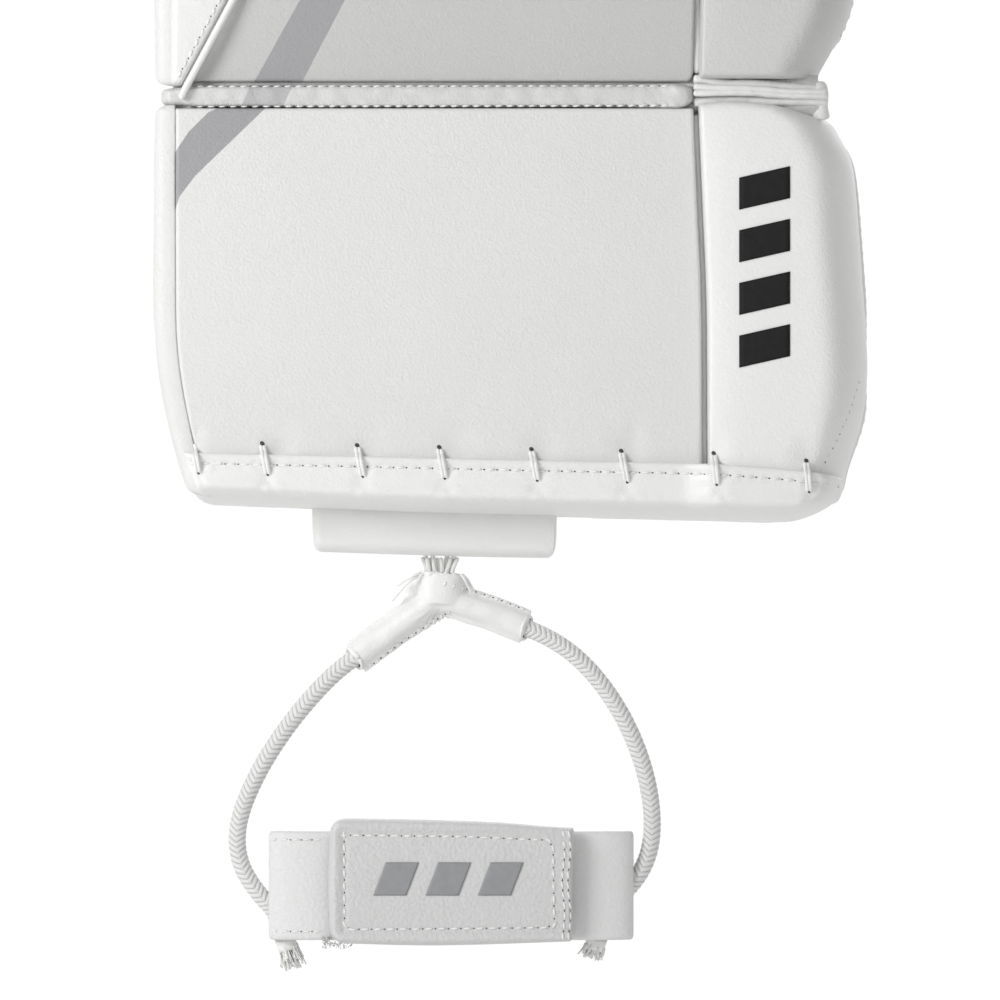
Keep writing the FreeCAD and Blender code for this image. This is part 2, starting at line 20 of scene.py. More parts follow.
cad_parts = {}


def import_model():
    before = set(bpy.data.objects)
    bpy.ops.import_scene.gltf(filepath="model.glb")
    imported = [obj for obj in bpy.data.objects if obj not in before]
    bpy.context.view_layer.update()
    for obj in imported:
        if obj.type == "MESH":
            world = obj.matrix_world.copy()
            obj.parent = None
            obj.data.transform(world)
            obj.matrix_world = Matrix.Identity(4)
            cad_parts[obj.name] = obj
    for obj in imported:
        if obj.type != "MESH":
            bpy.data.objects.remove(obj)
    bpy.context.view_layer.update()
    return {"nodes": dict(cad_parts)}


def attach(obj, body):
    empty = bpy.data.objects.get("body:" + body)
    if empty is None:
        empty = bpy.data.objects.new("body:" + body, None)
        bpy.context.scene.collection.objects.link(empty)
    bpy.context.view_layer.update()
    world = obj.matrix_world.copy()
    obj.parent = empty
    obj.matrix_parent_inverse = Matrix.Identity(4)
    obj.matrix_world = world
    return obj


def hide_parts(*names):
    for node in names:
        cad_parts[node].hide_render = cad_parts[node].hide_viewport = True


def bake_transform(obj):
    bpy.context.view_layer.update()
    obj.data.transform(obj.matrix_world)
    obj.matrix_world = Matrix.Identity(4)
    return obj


log = logging.getLogger("leg_pad")

MM = 0.001
Pair = tuple[float, float]
Knots = tuple[Pair, ...]
Relief = Callable[[float, float], float]
Path = Sequence[Vector]
Piece = bpy.types.Object
Shape = bmesh.types.BMesh
Tree = bpy.types.NodeTree
Node = bpy.types.Node
Socket = bpy.types.NodeSocket


# ---------------- small tools


def mix(a: float, b: float, share: float) -> float:
    """Value that lies that share of the way from a to b."""
    return a + (b - a) * share


def clamp(value: float, low: float = 0.0, high: float = 1.0) -> float:
    """Value held between two limits."""
    return max(low, min(high, value))


def ease(value: float) -> float:
    """Smooth step from 0 to 1."""
    value = clamp(value)
    return value * value * (3.0 - 2.0 * value)


def bump(distance: float, reach: float) -> float:
    """Bell shape, 1 at no distance and almost 0 at twice the reach."""
    return exp(-((distance / reach) ** 2))


def follow(knots: Knots, at: float) -> float:
    """Height of a smooth line through knots.

    Args:
        knots: Position and height pairs, in order of position.
        at: Position to read.

    Returns:
        The line's height there; beyond the ends it keeps the end's height.
    """
    places = [knot[0] for knot in knots]
    if len(knots) == 1 or at <= places[0]:
        return knots[0][1]
    if at >= places[-1]:
        return knots[-1][1]
    index = bisect_right(places, at) - 1
    slopes = []
    for middle in (index, index + 1):
        before, after = max(middle - 1, 0), min(middle + 1, len(knots) - 1)
        rise = knots[after][1] - knots[before][1]
        slopes.append(rise / (places[after] - places[before]))
    width = places[index + 1] - places[index]
    t = (at - places[index]) / width
    start, end = knots[index][1], knots[index + 1][1]
    return (
        (2 * t**3 - 3 * t**2 + 1) * start
        + (t**3 - 2 * t**2 + t) * width * slopes[0]
        + (3 * t**2 - 2 * t**3) * end
        + (t**3 - t**2) * width * slopes[1]
    )


def share_of(place: float) -> float:
    """Place on a grid that runs from -1 to 1, as a share from 0 to 1."""
    return (place + 1.0) / 2.0


def uneven(x: float, z: float, wide: float, tall: float, seed: float) -> float:
    """Slow unevenness of a surface, from about -1 to 1.

    Args:
        x: Place across.
        z: Place up.
        wide: Width of its waves.
        tall: Height of its waves.
        seed: Which of many such surfaces it is.

    Returns:
        The unevenness there.
    """
    return noise.noise(Vector((x / wide, z / tall, seed)))


def level(value: float) -> Knots:
    """A straight line at one height."""
    return ((0.0, value),)


def linear(code: str) -> tuple[float, float, float, float]:
    """An sRGB hex colour as linear red, green, blue and alpha."""
    parts = [int(code[index : index + 2], 16) / 255.0 for index in (1, 3, 5)]
    turned = [p / 12.92 if p <= 0.04045 else ((p + 0.055) / 1.055) ** 2.4 for p in parts]
    return (turned[0], turned[1], turned[2], 1.0)


# ---------------- finishes

NOISE, RANGE, BUMP = "ShaderNodeTexNoise", "ShaderNodeMapRange", "ShaderNodeBump"
MATH, MIX, SPLIT = "ShaderNodeMath", "ShaderNodeMix", "ShaderNodeSeparateXYZ"
# A Mix node's colour sockets: first colour, second colour and result.
MIX_FIRST, MIX_SECOND, MIX_RESULT = 6, 7, 2


def add_node(
    tree: Tree, kind: str, inputs: Optional[dict] = None, **settings
) -> Node:
    """Add a node with its settings and links.

    Args:
        tree: Node tree that takes the node.
        kind: Type name of the node.
        inputs: Socket name or number to a plain value, an output, or a node for its first output.
        **settings: Properties of the node.

    Returns:
        The new node.
    """
    node = tree.nodes.new(kind)
    for name, value in settings.items():
        setattr(node, name, value)
    for key, value in (inputs or {}).items():
        if isinstance(value, Node):
            value = value.outputs[0]
        if isinstance(value, Socket):
            tree.links.new(value, node.inputs[key])
        else:
            node.inputs[key].default_value = value
    return node


def darker(colour: tuple[float, float, float, float], share: float) -> tuple[float, ...]:
    """A linear colour dimmed to a share of itself."""
    return tuple(part * share for part in colour[:3]) + (1.0,)


@dataclass(frozen=True)
class Line:
    """A straight edge in the front view; its inner side is on the right of its direction."""

    start: Pair
    end: Pair


@dataclass(frozen=True)
class Inlay:
    """A differently coloured strip of leather: inside all of its edges, and any of the last ones."""

    edges: tuple[Line, ...]
    either: tuple[Line, ...] = ()


@dataclass(frozen=True)
class Finish:
    """Base of every finish: a named material with one shader."""

    name: str
    colour: str
    roughness: float
    depth: float = 0.0

    def made(self) -> bpy.types.Material:
        """The material, built once and shared."""
        found = bpy.data.materials.get(self.name)
        if found is not None:
            return found
        material = bpy.data.materials.new(self.name)
        material.use_nodes = True
        tree = material.node_tree
        tree.nodes.clear()
        shader = add_node(tree, "ShaderNodeBsdfPrincipled", {"Roughness": self.roughness})
        add_node(tree, "ShaderNodeOutputMaterial", {"Surface": shader})
        material.diffuse_color = linear(self.colour)
        self.dress(tree, shader)
        return material

    def dress(self, tree: Tree, shader: Node) -> None:
        """Give the shader its colour and pattern."""
        shader.inputs["Base Color"].default_value = linear(self.colour)

    def cover(
        self, shader: Node, colour: Node, height: Node, strength: float,
        gloss: Optional[Node] = None,
    ) -> None:
        """Link a pattern to the shader.

        Args:
            shader: The material's shader.
            colour: Mix node with the colour.
            height: Node with the relief, which is this finish's depth from 0 to 1.
            strength: Strength of the relief.
            gloss: Node with the roughness, where it drifts.
        """
        tree = shader.id_data
        relief = add_node(
            tree, BUMP, {"Height": height, "Strength": strength, "Distance": self.depth * MM}
        )
        tree.links.new(colour.outputs[MIX_RESULT], shader.inputs["Base Color"])
        tree.links.new(relief.outputs[0], shader.inputs["Normal"])
        if gloss is not None:
            tree.links.new(gloss.outputs[0], shader.inputs["Roughness"])


@dataclass(frozen=True)
class Leather(Finish):
    """Coated microfibre leather, embossed with a fine pebble that breaks up its soft gloss."""

    grain: float = 1.1
    depth: float = 0.16
    inlay_colour: str = "#9c9c9e"
    inlays: tuple[Inlay, ...] = ()
    scuffs: float = 0.05
    scuff_colour: str = "#8f8d88"
    mottle: float = 45.0
    rub: float = 18.0

    def dress(self, tree: Tree, shader: Node) -> None:
        """Pebble grain, faint creasing, mottled colour, rubbed spots and inlaid strips."""
        place = add_node(tree, "ShaderNodeTexCoord").outputs["Object"]
        scale = 1.0 / (self.mottle * MM)
        cloud = add_node(tree, NOISE, {"Vector": place, "Scale": scale, "Detail": 4.0})
        limits = {"From Min": 0.3, "From Max": 0.7, "To Min": 0.955, "To Max": 1.0}
        shade = add_node(tree, RANGE, {"Value": cloud, **limits})
        base = linear(self.colour)
        colour = add_node(
            tree, MIX, {0: shade, MIX_FIRST: darker(base, 0.6), MIX_SECOND: base}, data_type="RGBA"
        )
        scale = 1.0 / (self.rub * MM)
        rub = add_node(
            tree, NOISE, {"Vector": place, "Scale": scale, "Detail": 8.0, "Roughness": 0.75}
        )
        limits = {"From Min": 0.64, "From Max": 0.74, "To Min": 0.0, "To Max": self.scuffs}
        rubbed = add_node(tree, RANGE, {"Value": rub, **limits})
        colour = self.over(tree, colour, rubbed, self.scuff_colour)
        scale = 1.0 / (self.grain * MM)
        cells = add_node(
            tree, "ShaderNodeTexVoronoi", {"Vector": place, "Scale": scale}, feature="F1"
        )
        scale = 1.0 / (self.grain * 4.5 * MM)
        ridges = add_node(
            tree, NOISE, {"Vector": place, "Scale": scale, "Detail": 3.0, "Distortion": 0.6}
        )
        height = add_node(tree, MATH, {0: ridges, 1: 1.3, 2: cells}, operation="MULTIPLY_ADD")
        if self.inlays:
            mask = self.inlay_mask(tree, place)
            colour = self.over(tree, colour, mask, self.inlay_colour)
            height = add_node(tree, MATH, {0: mask, 1: -0.5, 2: height}, operation="MULTIPLY_ADD")
        least = self.roughness - 0.08
        gloss = add_node(tree, MATH, {0: cloud, 1: 0.16, 2: least}, operation="MULTIPLY_ADD")
        self.cover(shader, colour, height, 0.8, gloss)
        shader.inputs["Coat Weight"].default_value = 0.06
        shader.inputs["Coat Roughness"].default_value = 0.35

    @staticmethod
    def over(
        tree: Tree, below: Node, mask: Node, colour: str
    ) -> Node:
        """A colour laid over another one where a mask is 1."""
        under = below.outputs[MIX_RESULT]
        return add_node(
            tree, MIX, {0: mask, MIX_FIRST: under, MIX_SECOND: linear(colour)}, data_type="RGBA"
        )

    def inlay_mask(self, tree: Tree, place: Socket) -> Node:
        """Mask of the inlaid strips, 1 inside them.

        Args:
            tree: Material's node tree.
            place: Object coordinates.

        Returns:
            Node with the mask.
        """
        split = add_node(tree, SPLIT, {0: place})
        whole = None
        for inlay in self.inlays:
            sides = [self.side_of(tree, split, edge) for edge in inlay.edges]
            if inlay.either:
                loose = [self.side_of(tree, split, edge) for edge in inlay.either]
                sides.append(self.joined(tree, "MAXIMUM", loose))
            inside = self.joined(tree, "MINIMUM", sides)
            whole = inside if whole is None else self.joined(tree, "MAXIMUM", [whole, inside])
        blur = 0.15 * MM
        return add_node(tree, RANGE, {"Value": whole, "From Min": -blur, "From Max": blur})

    @staticmethod
    def joined(
        tree: Tree, operation: str, distances: Sequence[Node]
    ) -> Node:
        """Several distances joined by an operation on two."""
        whole = distances[0]
        for other in distances[1:]:
            whole = add_node(tree, MATH, {0: whole, 1: other}, operation=operation)
        return whole

    @staticmethod
    def side_of(tree: Tree, split: Node, edge: Line) -> Node:
        """Signed distance from an edge in metres, positive on its inner side."""
        (x0, z0), (x1, z1) = edge.start, edge.end
        length = hypot(x1 - x0, z1 - z0)
        across, up = (x1 - x0) / length, (z1 - z0) / length
        offset = (across * z0 - up * x0) * MM
        height = add_node(
            tree, MATH, {0: split.outputs["Z"], 1: -across, 2: offset}, operation="MULTIPLY_ADD"
        )
        return add_node(tree, MATH, {0: split.outputs["X"], 1: up, 2: height}, operation="MULTIPLY_ADD")


@dataclass(frozen=True)
class Woven(Finish):
    """Woven nylon: rows of yarn over and under, with a little sheen on the crowns."""

    yarn: float = 0.9
    depth: float = 0.12
    fuzz: float = 0.0

    def dress(self, tree: Tree, shader: Node) -> None:
        """Crossing yarns with darker gaps between them, and loose fibres where the cloth has a nap."""
        place = add_node(tree, "ShaderNodeTexCoord").outputs["Object"]
        split = add_node(tree, SPLIT, {0: place})
        pitch = pi / (self.yarn * MM)
        side = add_node(tree, MATH, {0: split.outputs["X"], 1: split.outputs["Y"]}, operation="ADD")
        waves = []
        for run in (side, split.outputs["Z"]):
            turn = add_node(tree, MATH, {0: run, 1: pitch}, operation="MULTIPLY")
            waves.append(add_node(tree, MATH, {0: turn}, operation="SINE"))
        crossed = add_node(tree, MATH, {0: waves[0], 1: waves[1]}, operation="MULTIPLY")
        weave = add_node(tree, MATH, {0: crossed}, operation="ABSOLUTE")
        speckle = add_node(
            tree, NOISE, {"Vector": place, "Scale": 1.0 / (1.4 * MM), "Detail": 6.0, "Roughness": 0.8}
        )
        loose = 0.4 + self.fuzz * 3.0
        height = add_node(tree, MATH, {0: speckle, 1: loose, 2: weave}, operation="MULTIPLY_ADD")
        share = add_node(tree, RANGE, {"Value": height, "From Min": 0.1, "From Max": 0.7 + self.fuzz})
        base = linear(self.colour)
        colour = add_node(
            tree, MIX, {0: share, MIX_FIRST: darker(base, 0.45), MIX_SECOND: base}, data_type="RGBA"
        )
        self.cover(shader, colour, height, 0.8)
        shader.inputs["Sheen Weight"].default_value = 0.25
        shader.inputs["Sheen Roughness"].default_value = 0.5


@dataclass(frozen=True)
class Braid(Finish):
    """Braided polyester sheath: bundles of filaments that cross in a herringbone."""

    bundle: float = 2.2
    girth: float = 11.0
    depth: float = 0.35

    def dress(self, tree: Tree, shader: Node) -> None:
        """Fine filaments along the bundles, in the piece's own map of length and girth."""
        place = add_node(tree, "ShaderNodeUVMap", uv_map="Sheath").outputs[0]
        split = add_node(tree, SPLIT, {0: place})
        across, along = split.outputs["X"], split.outputs["Y"]
        pitch = 2.0 * pi / (self.bundle * 0.18 * MM)
        rise = add_node(tree, MATH, {0: along, 1: 0.8}, operation="MULTIPLY")
        tilt = add_node(tree, MATH, {0: across, 1: rise}, operation="ADD")
        turn = add_node(tree, MATH, {0: tilt, 1: pitch}, operation="MULTIPLY")
        fibres = add_node(tree, MATH, {0: turn}, operation="SINE")
        cloud = add_node(
            tree, NOISE, {"Vector": place, "Scale": 1.0 / (1.2 * MM), "Detail": 6.0, "Roughness": 0.7}
        )
        turns = add_node(tree, MATH, {0: across, 1: 2.0 / (self.girth * MM)}, operation="MULTIPLY")
        zigzag = add_node(tree, MATH, {0: turns, 1: 1.0}, operation="PINGPONG")
        count = add_node(tree, MATH, {0: along, 1: 1.0 / (self.bundle * MM)}, operation="MULTIPLY")
        slant = add_node(tree, MATH, {0: zigzag, 1: 1.4, 2: count}, operation="MULTIPLY_ADD")
        run = add_node(tree, MATH, {0: slant}, operation="FRACT")
        arch = add_node(tree, MATH, {0: run, 1: pi}, operation="MULTIPLY")
        rib = add_node(tree, MATH, {0: arch}, operation="SINE")
        rough = add_node(tree, MATH, {0: cloud, 1: 0.3, 2: rib}, operation="MULTIPLY_ADD")
        height = add_node(tree, MATH, {0: fibres, 1: 0.12, 2: rough}, operation="MULTIPLY_ADD")
        share = add_node(tree, RANGE, {"Value": height, "From Min": 0.1, "From Max": 0.75})
        base = linear(self.colour)
        colour = add_node(
            tree, MIX, {0: share, MIX_FIRST: darker(base, 0.5), MIX_SECOND: base}, data_type="RGBA"
        )
        self.cover(shader, colour, height, 0.5)
        shader.inputs["Sheen Weight"].default_value = 0.3


@dataclass(frozen=True)
class Plain(Finish):
    """Moulded, printed or plated surface: one colour with a fine unevenness of a stated size."""

    size: float = 2.0
    depth: float = 0.05
    metallic: float = 0.0
    spread: float = 0.12

    def dress(self, tree: Tree, shader: Node) -> None:
        """Colour and gloss that drift a little, over a shallow relief."""
        place = add_node(tree, "ShaderNodeTexCoord").outputs["Object"]
        grain = add_node(tree, NOISE, {"Vector": place, "Scale": 1.0 / (self.size * MM), "Detail": 6.0})
        base = linear(self.colour)
        dark = darker(base, 1.0 - self.spread * 2.0)
        colour = add_node(tree, MIX, {0: grain, MIX_FIRST: dark, MIX_SECOND: base}, data_type="RGBA")
        least = self.roughness - 0.1
        gloss = add_node(tree, MATH, {0: grain, 1: 0.2, 2: least}, operation="MULTIPLY_ADD")
        self.cover(shader, colour, grain, 0.4, gloss)
        shader.inputs["Metallic"].default_value = self.metallic


STRIPE_BOOT = Inlay(
    edges=(
        Line((-133.4, -33.0), (-131.0, -22.4)), Line((-131.0, -22.4), (-125.5, -14.2)),
        Line((-125.5, -14.2), (-118.0, -6.8)), Line((-118.0, -6.8), (-108.0, -2.4)),
    ),
    either=(
        Line((-95.2, -4.7), (-123.0, -31.5)), Line((-123.0, -31.5), (-129.2, -39.6)),
        Line((-129.2, -39.6), (-133.4, -52.0)),
    ),
)
STRIPE_SHIN = Inlay(edges=(Line((-103.1, 0.0), (56.0, 282.4)), Line((64.4, 282.0), (-84.2, 0.0))))
STRIPE_BAND = Inlay(edges=(Line((-105.2, -4.4), (-101.2, 4.4)), Line((-84.6, 4.4), (-88.8, -4.4))))

# White coated microfibre leather, pebbled, over firm foam: soft gloss that dulls where it is rubbed.
BOOT_LEATHER = Leather("microfibre_leather_boot", "#dcdcdb", 0.46, inlays=(STRIPE_BOOT,))
SIDE_LEATHER = Leather("microfibre_leather_side", "#dadad9", 0.5)
# The shin's face takes a darker copy of the same white leather: painted shade, for a face that turns from the
# light above the boot break.
SHADED_SHIN_LEATHER = Leather("microfibre_leather_shin", "#c1c1c0", 0.46, inlays=(STRIPE_SHIN,))
# The outer rolls above the boot take a darker copy of the same white leather: painted shade.
SHADED_ROLL_LEATHER = Leather("microfibre_leather_upper", "#cbcbca", 0.46)
BAND_LEATHER = Leather(
    "microfibre_leather_break", "#d0d0cf", 0.5, grain=0.7, inlay_colour="#b4b4b5", inlays=(STRIPE_BAND,)
)
COVER_LEATHER = Leather("microfibre_leather_white", "#e8e8e7", 0.46)
# Thicker split leather of straps, with a coarser pebble that shows.
STRAP_LEATHER = Leather("split_leather_strap", "#cbcbcb", 0.52, grain=1.5, depth=0.3, scuffs=0.1)
SOFT_STRAP_LEATHER = Leather("split_leather_band", "#dadada", 0.52, grain=1.5, depth=0.22, scuffs=0.1)
# Smooth thin leather of bindings, welts and sleeves.
TRIM_LEATHER = Leather("glove_leather_trim", "#e6e6e5", 0.44, grain=0.8, depth=0.12, scuffs=0.03)
# Grey brushed microfibre against the leg: matt, with a short nap.
LINING = Woven("brushed_microfibre_lining", "#a3a5a8", 0.85, yarn=1.2, fuzz=0.25)
# Nylon webbing, flat woven.
WEBBING = Woven("nylon_webbing_white", "#dcdcda", 0.6, yarn=1.5, depth=0.35)
# Loop side of hook-and-loop tape: a dense curly pile.
PILE = Woven("loop_pile_tape", "#cfcfcd", 0.9, yarn=0.8, depth=0.5, fuzz=0.6)
# Bonded polyester thread, twisted, a touch glossy.
THREAD = Plain("bonded_polyester_thread", "#f4f4f2", 0.5, size=0.5)
# Inside of needle holes and eyelets, where light doesn't reach.
HOLE = Plain("needle_hole_shade", "#4c4a48", 0.9, size=1.0)
# Waxed cotton lace, flat and soft.
LACE = Plain("waxed_cotton_lace", "#f0f0ee", 0.6, size=0.7, depth=0.2, spread=0.08)
# Elastic cord's sheath.
SHEATH = Braid("braided_polyester_sheath", "#dfdfde", 0.62)
# Rubber strands and frayed yarn at the cord's cut end.
RUBBER = Plain("cut_rubber_core", "#7d7b78", 0.8, size=0.6, depth=0.3, spread=0.3)
# Screen print, a thin matt film.
INK_BLACK = Plain("screen_print_black", "#060607", 0.8, size=3.0, depth=0.02)
INK_GREY = Plain("screen_print_grey", "#98999b", 0.55, size=3.0, depth=0.02)
# Nickel-plated steel, tumbled bright.
NICKEL = Plain("nickel_plated_steel", "#b9b7b2", 0.28, size=1.5, depth=0.02, metallic=1.0, spread=0.05)
# Closed-cell polyethylene foam, cut, with pores that show.
FOAM = Plain("polyethylene_foam", "#d6d8da", 0.85, size=1.6, depth=0.4)
# Extruded polyethylene sheet.
SHEET_PLASTIC = Plain("polyethylene_sheet", "#e2e2de", 0.4, size=6.0)
# Matt paper sweep under the pad.
PAPER = Plain("paper_sweep", "#f6f6f5", 0.9, size=8.0, spread=0.01)


# ---------------- forms


class Facing(Enum):
    """The way a panel's front looks, as a turn about the upright axis in degrees."""

    FRONT = 0.0
    INNER = -90.0
    BACK = 180.0
    OUTER = 90.0


def profile(gap: float, soft: float, fullness: float) -> float:
    """How full a panel stands at a distance from its edge, from 0 on the edge to 1."""
    if soft <= 0.0 or gap >= soft:
        return 1.0
    return (1.0 - (1.0 - max(gap, 0.0) / soft) ** fullness) ** (1.0 / fullness)


@dataclass(frozen=True)
class Panel:
    """A crowned form seen square-on: its four edges, its depth and how softly its rim rounds.

    Soft is for the left, right, low and high edge; corners for low-left, low-right, high-left and
    high-right. Taper is how far the low and the high end slant in towards the back.
    """

    left: Knots
    right: Knots
    low: Knots
    high: Knots
    back: float
    front: float
    crown: float = 1.5
    soft: tuple[float, float, float, float] = (8.0, 8.0, 8.0, 8.0)
    corners: tuple[float, float, float, float] = (3.0, 3.0, 3.0, 3.0)
    taper: Pair = (0.0, 0.0)
    cells: tuple[int, int] = (60, 60)
    fullness: float = 2.5
    crowding: float = 0.8

    def crowd(self, place: float) -> float:
        """Move a grid line towards the rim, where the form curves most."""
        return place + self.crowding * sin(pi * place) / pi

    def inset(self, gap: float, radius: float) -> float:
        """How far a rounded corner draws an edge in at a distance from the end."""
        if radius <= 0.0 or gap >= radius:
            return 0.0
        return radius - sqrt(max(radius**2 - (radius - max(gap, 0.0)) ** 2, 0.0))

    def sides(self, z: float, low: float, high: float) -> Pair:
        """Left and right edge at a height, corners rounded."""
        low_left, low_right, high_left, high_right = self.corners
        left = follow(self.left, z) + self.inset(z - low, low_left) + self.inset(high - z, high_left)
        right = follow(self.right, z) - self.inset(z - low, low_right) - self.inset(high - z, high_right)
        return left, right

    def place(self, across: float, up: float, relief: Optional[Relief]) -> Vector:
        """Point of the form for grid coordinates from -1 to 1."""
        share, rise = share_of(across), share_of(up)
        middle = (follow(self.left, 0.0) + follow(self.right, 0.0)) / 2.0
        x = middle
        for _ in range(2):
            low, high = follow(self.low, x), follow(self.high, x)
            z = mix(low, high, rise)
            left, right = self.sides(z, low, high)
            x = mix(left, right, share)
        gaps = (x - left, right - x, z - low, high - z)
        fills = [profile(gap, soft, self.fullness) for gap, soft in zip(gaps, self.soft)]
        full = fills[0] * fills[1] * fills[2] * fills[3]
        depth = mix(self.back, self.front - self.crown, full)
        depth += self.crown * full * (1.0 - across**4) * (1.0 - up**4)
        if relief is not None:
            depth += relief(x, z) * full
        z += self.taper[0] * (1.0 - fills[2]) - self.taper[1] * (1.0 - fills[3])
        return Vector((x, -depth, z))

    def shrunk(self, gap: float, back: float, cell: float = 9.0) -> "Panel":
        """The block of foam that fills this panel's cover.

        Args:
            gap: Room left under the cover.
            back: Depth of the block's back.
            cell: Size of its grid cells.

        Returns:
            A smaller, coarser panel.
        """
        width = self.right[0][1] - self.left[0][1]
        height = self.high[0][1] - self.low[0][1]
        return replace(
            self, left=tuple((z, x + gap) for z, x in self.left),
            right=tuple((z, x - gap) for z, x in self.right),
            low=tuple((x, z + gap) for x, z in self.low),
            high=tuple((x, z - gap) for x, z in self.high), back=back,
            front=self.front - gap - self.crown, crown=self.crown,
            cells=(max(int(width / cell), 8), max(int(height / cell), 8)),
        )

    def form(self, relief: Optional[Relief] = None, facing: Facing = Facing.FRONT) -> Shape:
        """Closed form of the panel.

        Args:
            relief: Extra depth at a place of the front view.
            facing: Which way the panel looks.

        Returns:
            A new bmesh in millimetres.
        """
        shape = bmesh.new()
        bmesh.ops.create_grid(shape, x_segments=self.cells[0], y_segments=self.cells[1], size=1.0)
        bmesh.ops.solidify(shape, geom=shape.faces[:], thickness=1.0)
        for vert in shape.verts:
            behind = abs(vert.co.z) > 0.5
            vert.co = self.place(self.crowd(vert.co.x), self.crowd(vert.co.y), relief)
            if behind:
                low, high = follow(self.low, vert.co.x), follow(self.high, vert.co.x)
                low, high = low + self.taper[0], high - self.taper[1]
                share = clamp((vert.co.z - low) / max(high - low, 1.0))
                vert.co.y = -self.back
                vert.co.z = mix(low, high, share)
        bmesh.ops.remove_doubles(shape, verts=shape.verts[:], dist=0.02)
        turn = Matrix.Rotation(radians(facing.value), 4, "Z")
        bmesh.ops.transform(shape, matrix=turn, verts=shape.verts[:])
        return shape


def travel(path: Path) -> list[float]:
    """Length along a path at each of its points."""
    lengths = [0.0]
    for before, after in zip(path, path[1:]):
        lengths.append(lengths[-1] + (after - before).length)
    return lengths


def frames(path: Path, up: Vector) -> list[tuple[Vector, Vector]]:
    """Two crosswise directions at each point of a path, the first as near to up as can be."""
    made = []
    for index in range(len(path)):
        way = (path[min(index + 1, len(path) - 1)] - path[max(index - 1, 0)]).normalized()
        first = (up - way * up.dot(way)).normalized()
        made.append((first, way.cross(first)))
        up = first
    return made


def tube(
    path: Path, radius: float, sides: int = 8, up: Vector = Vector((0.0, -1.0, 0.0)),
    flat: float = 1.0, relief: Optional[Relief] = None,
) -> Shape:
    """A bar of round or oval section along a path, ends closed, with a map of girth and length.

    Args:
        path: Points that the middle follows.
        radius: Half of the bar's thickness across up.
        sides: Faces round the bar.
        up: Direction the section's first axis leans to.
        flat: Thickness along up as a share of that across it.
        relief: Extra radius for an angle and a length.

    Returns:
        A new bmesh.
    """
    lengths = travel(path)
    crosswise = frames(path, up)
    last = len(path) - 1
    shape = bmesh.new()
    sheath = shape.loops.layers.uv.new("Sheath")
    bmesh.ops.create_grid(shape, x_segments=sides, y_segments=last, size=1.0)
    girth = 2.0 * pi * radius
    for face in shape.faces:
        for loop in face.loops:
            share = share_of(loop.vert.co.x)
            index = round(share_of(loop.vert.co.y) * last)
            loop[sheath].uv = (share * girth * MM, lengths[index] * MM)
    for vert in shape.verts:
        angle = (vert.co.x + 1.0) * pi
        index = round(share_of(vert.co.y) * last)
        first, second = crosswise[index]
        reach = radius + (relief(angle, lengths[index]) if relief else 0.0)
        offset = first * (cos(angle) * reach * flat) + second * (sin(angle) * reach)
        vert.co = path[index] + offset
    bmesh.ops.remove_doubles(shape, verts=shape.verts[:], dist=radius * 1e-3)
    rim = [edge for edge in shape.edges if edge.is_boundary]
    bmesh.ops.holes_fill(shape, edges=rim, sides=0)
    return shape


def merged(shapes: Sequence[Shape]) -> Shape:
    """Several shapes as one."""
    whole = shapes[0]
    for shape in shapes[1:]:
        data = bpy.data.meshes.new("part")
        shape.to_mesh(data)
        shape.free()
        whole.from_mesh(data)
        bpy.data.meshes.remove(data)
    return whole


# No edge of a piece with this limit is drawn sharp, in degrees.
SOFT = 180.0


def finished(
    name: str, shape: Shape, finish: Finish, levels: int = 1, sharp: float = SOFT
) -> Piece:
    """A piece from a shape in millimetres.

    Args:
        name: Piece's name.
        shape: Its form, which is used up.
        finish: Its surface.
        levels: Subdivision levels.
        sharp: Angle in degrees past which an edge is drawn sharp.

    Returns:
        The new object, in metres.
    """
    bmesh.ops.recalc_face_normals(shape, faces=shape.faces[:])
    for face in shape.faces:
        face.smooth = True
    for edge in shape.edges:
        if len(edge.link_faces) == 2 and edge.calc_face_angle(0.0) > radians(sharp):
            edge.smooth = False
    bmesh.ops.transform(shape, matrix=Matrix.Scale(MM, 4), verts=shape.verts[:])
    data = bpy.data.meshes.new(name)
    shape.to_mesh(data)
    shape.free()
    piece = bpy.data.objects.new(name, data)
    bpy.context.scene.collection.objects.link(piece)
    data.materials.append(finish.made())
    if levels:
        smooth_out(piece, levels)
    return piece


def smooth_out(piece: Piece, levels: int = 1) -> None:
    """Subdivide a piece's surface."""
    smooth = piece.modifiers.new("Smooth", "SUBSURF")
    smooth.levels = smooth.render_levels = levels


def placed(piece: Piece, body: str, slot: str, *nodes: str) -> Piece:
    """Put a piece on its body, in place of the solid parts it stands for."""
    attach(piece, body)
    if nodes:
        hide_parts(*nodes)
    log.info("%s on %s", piece.name, body)
    return piece


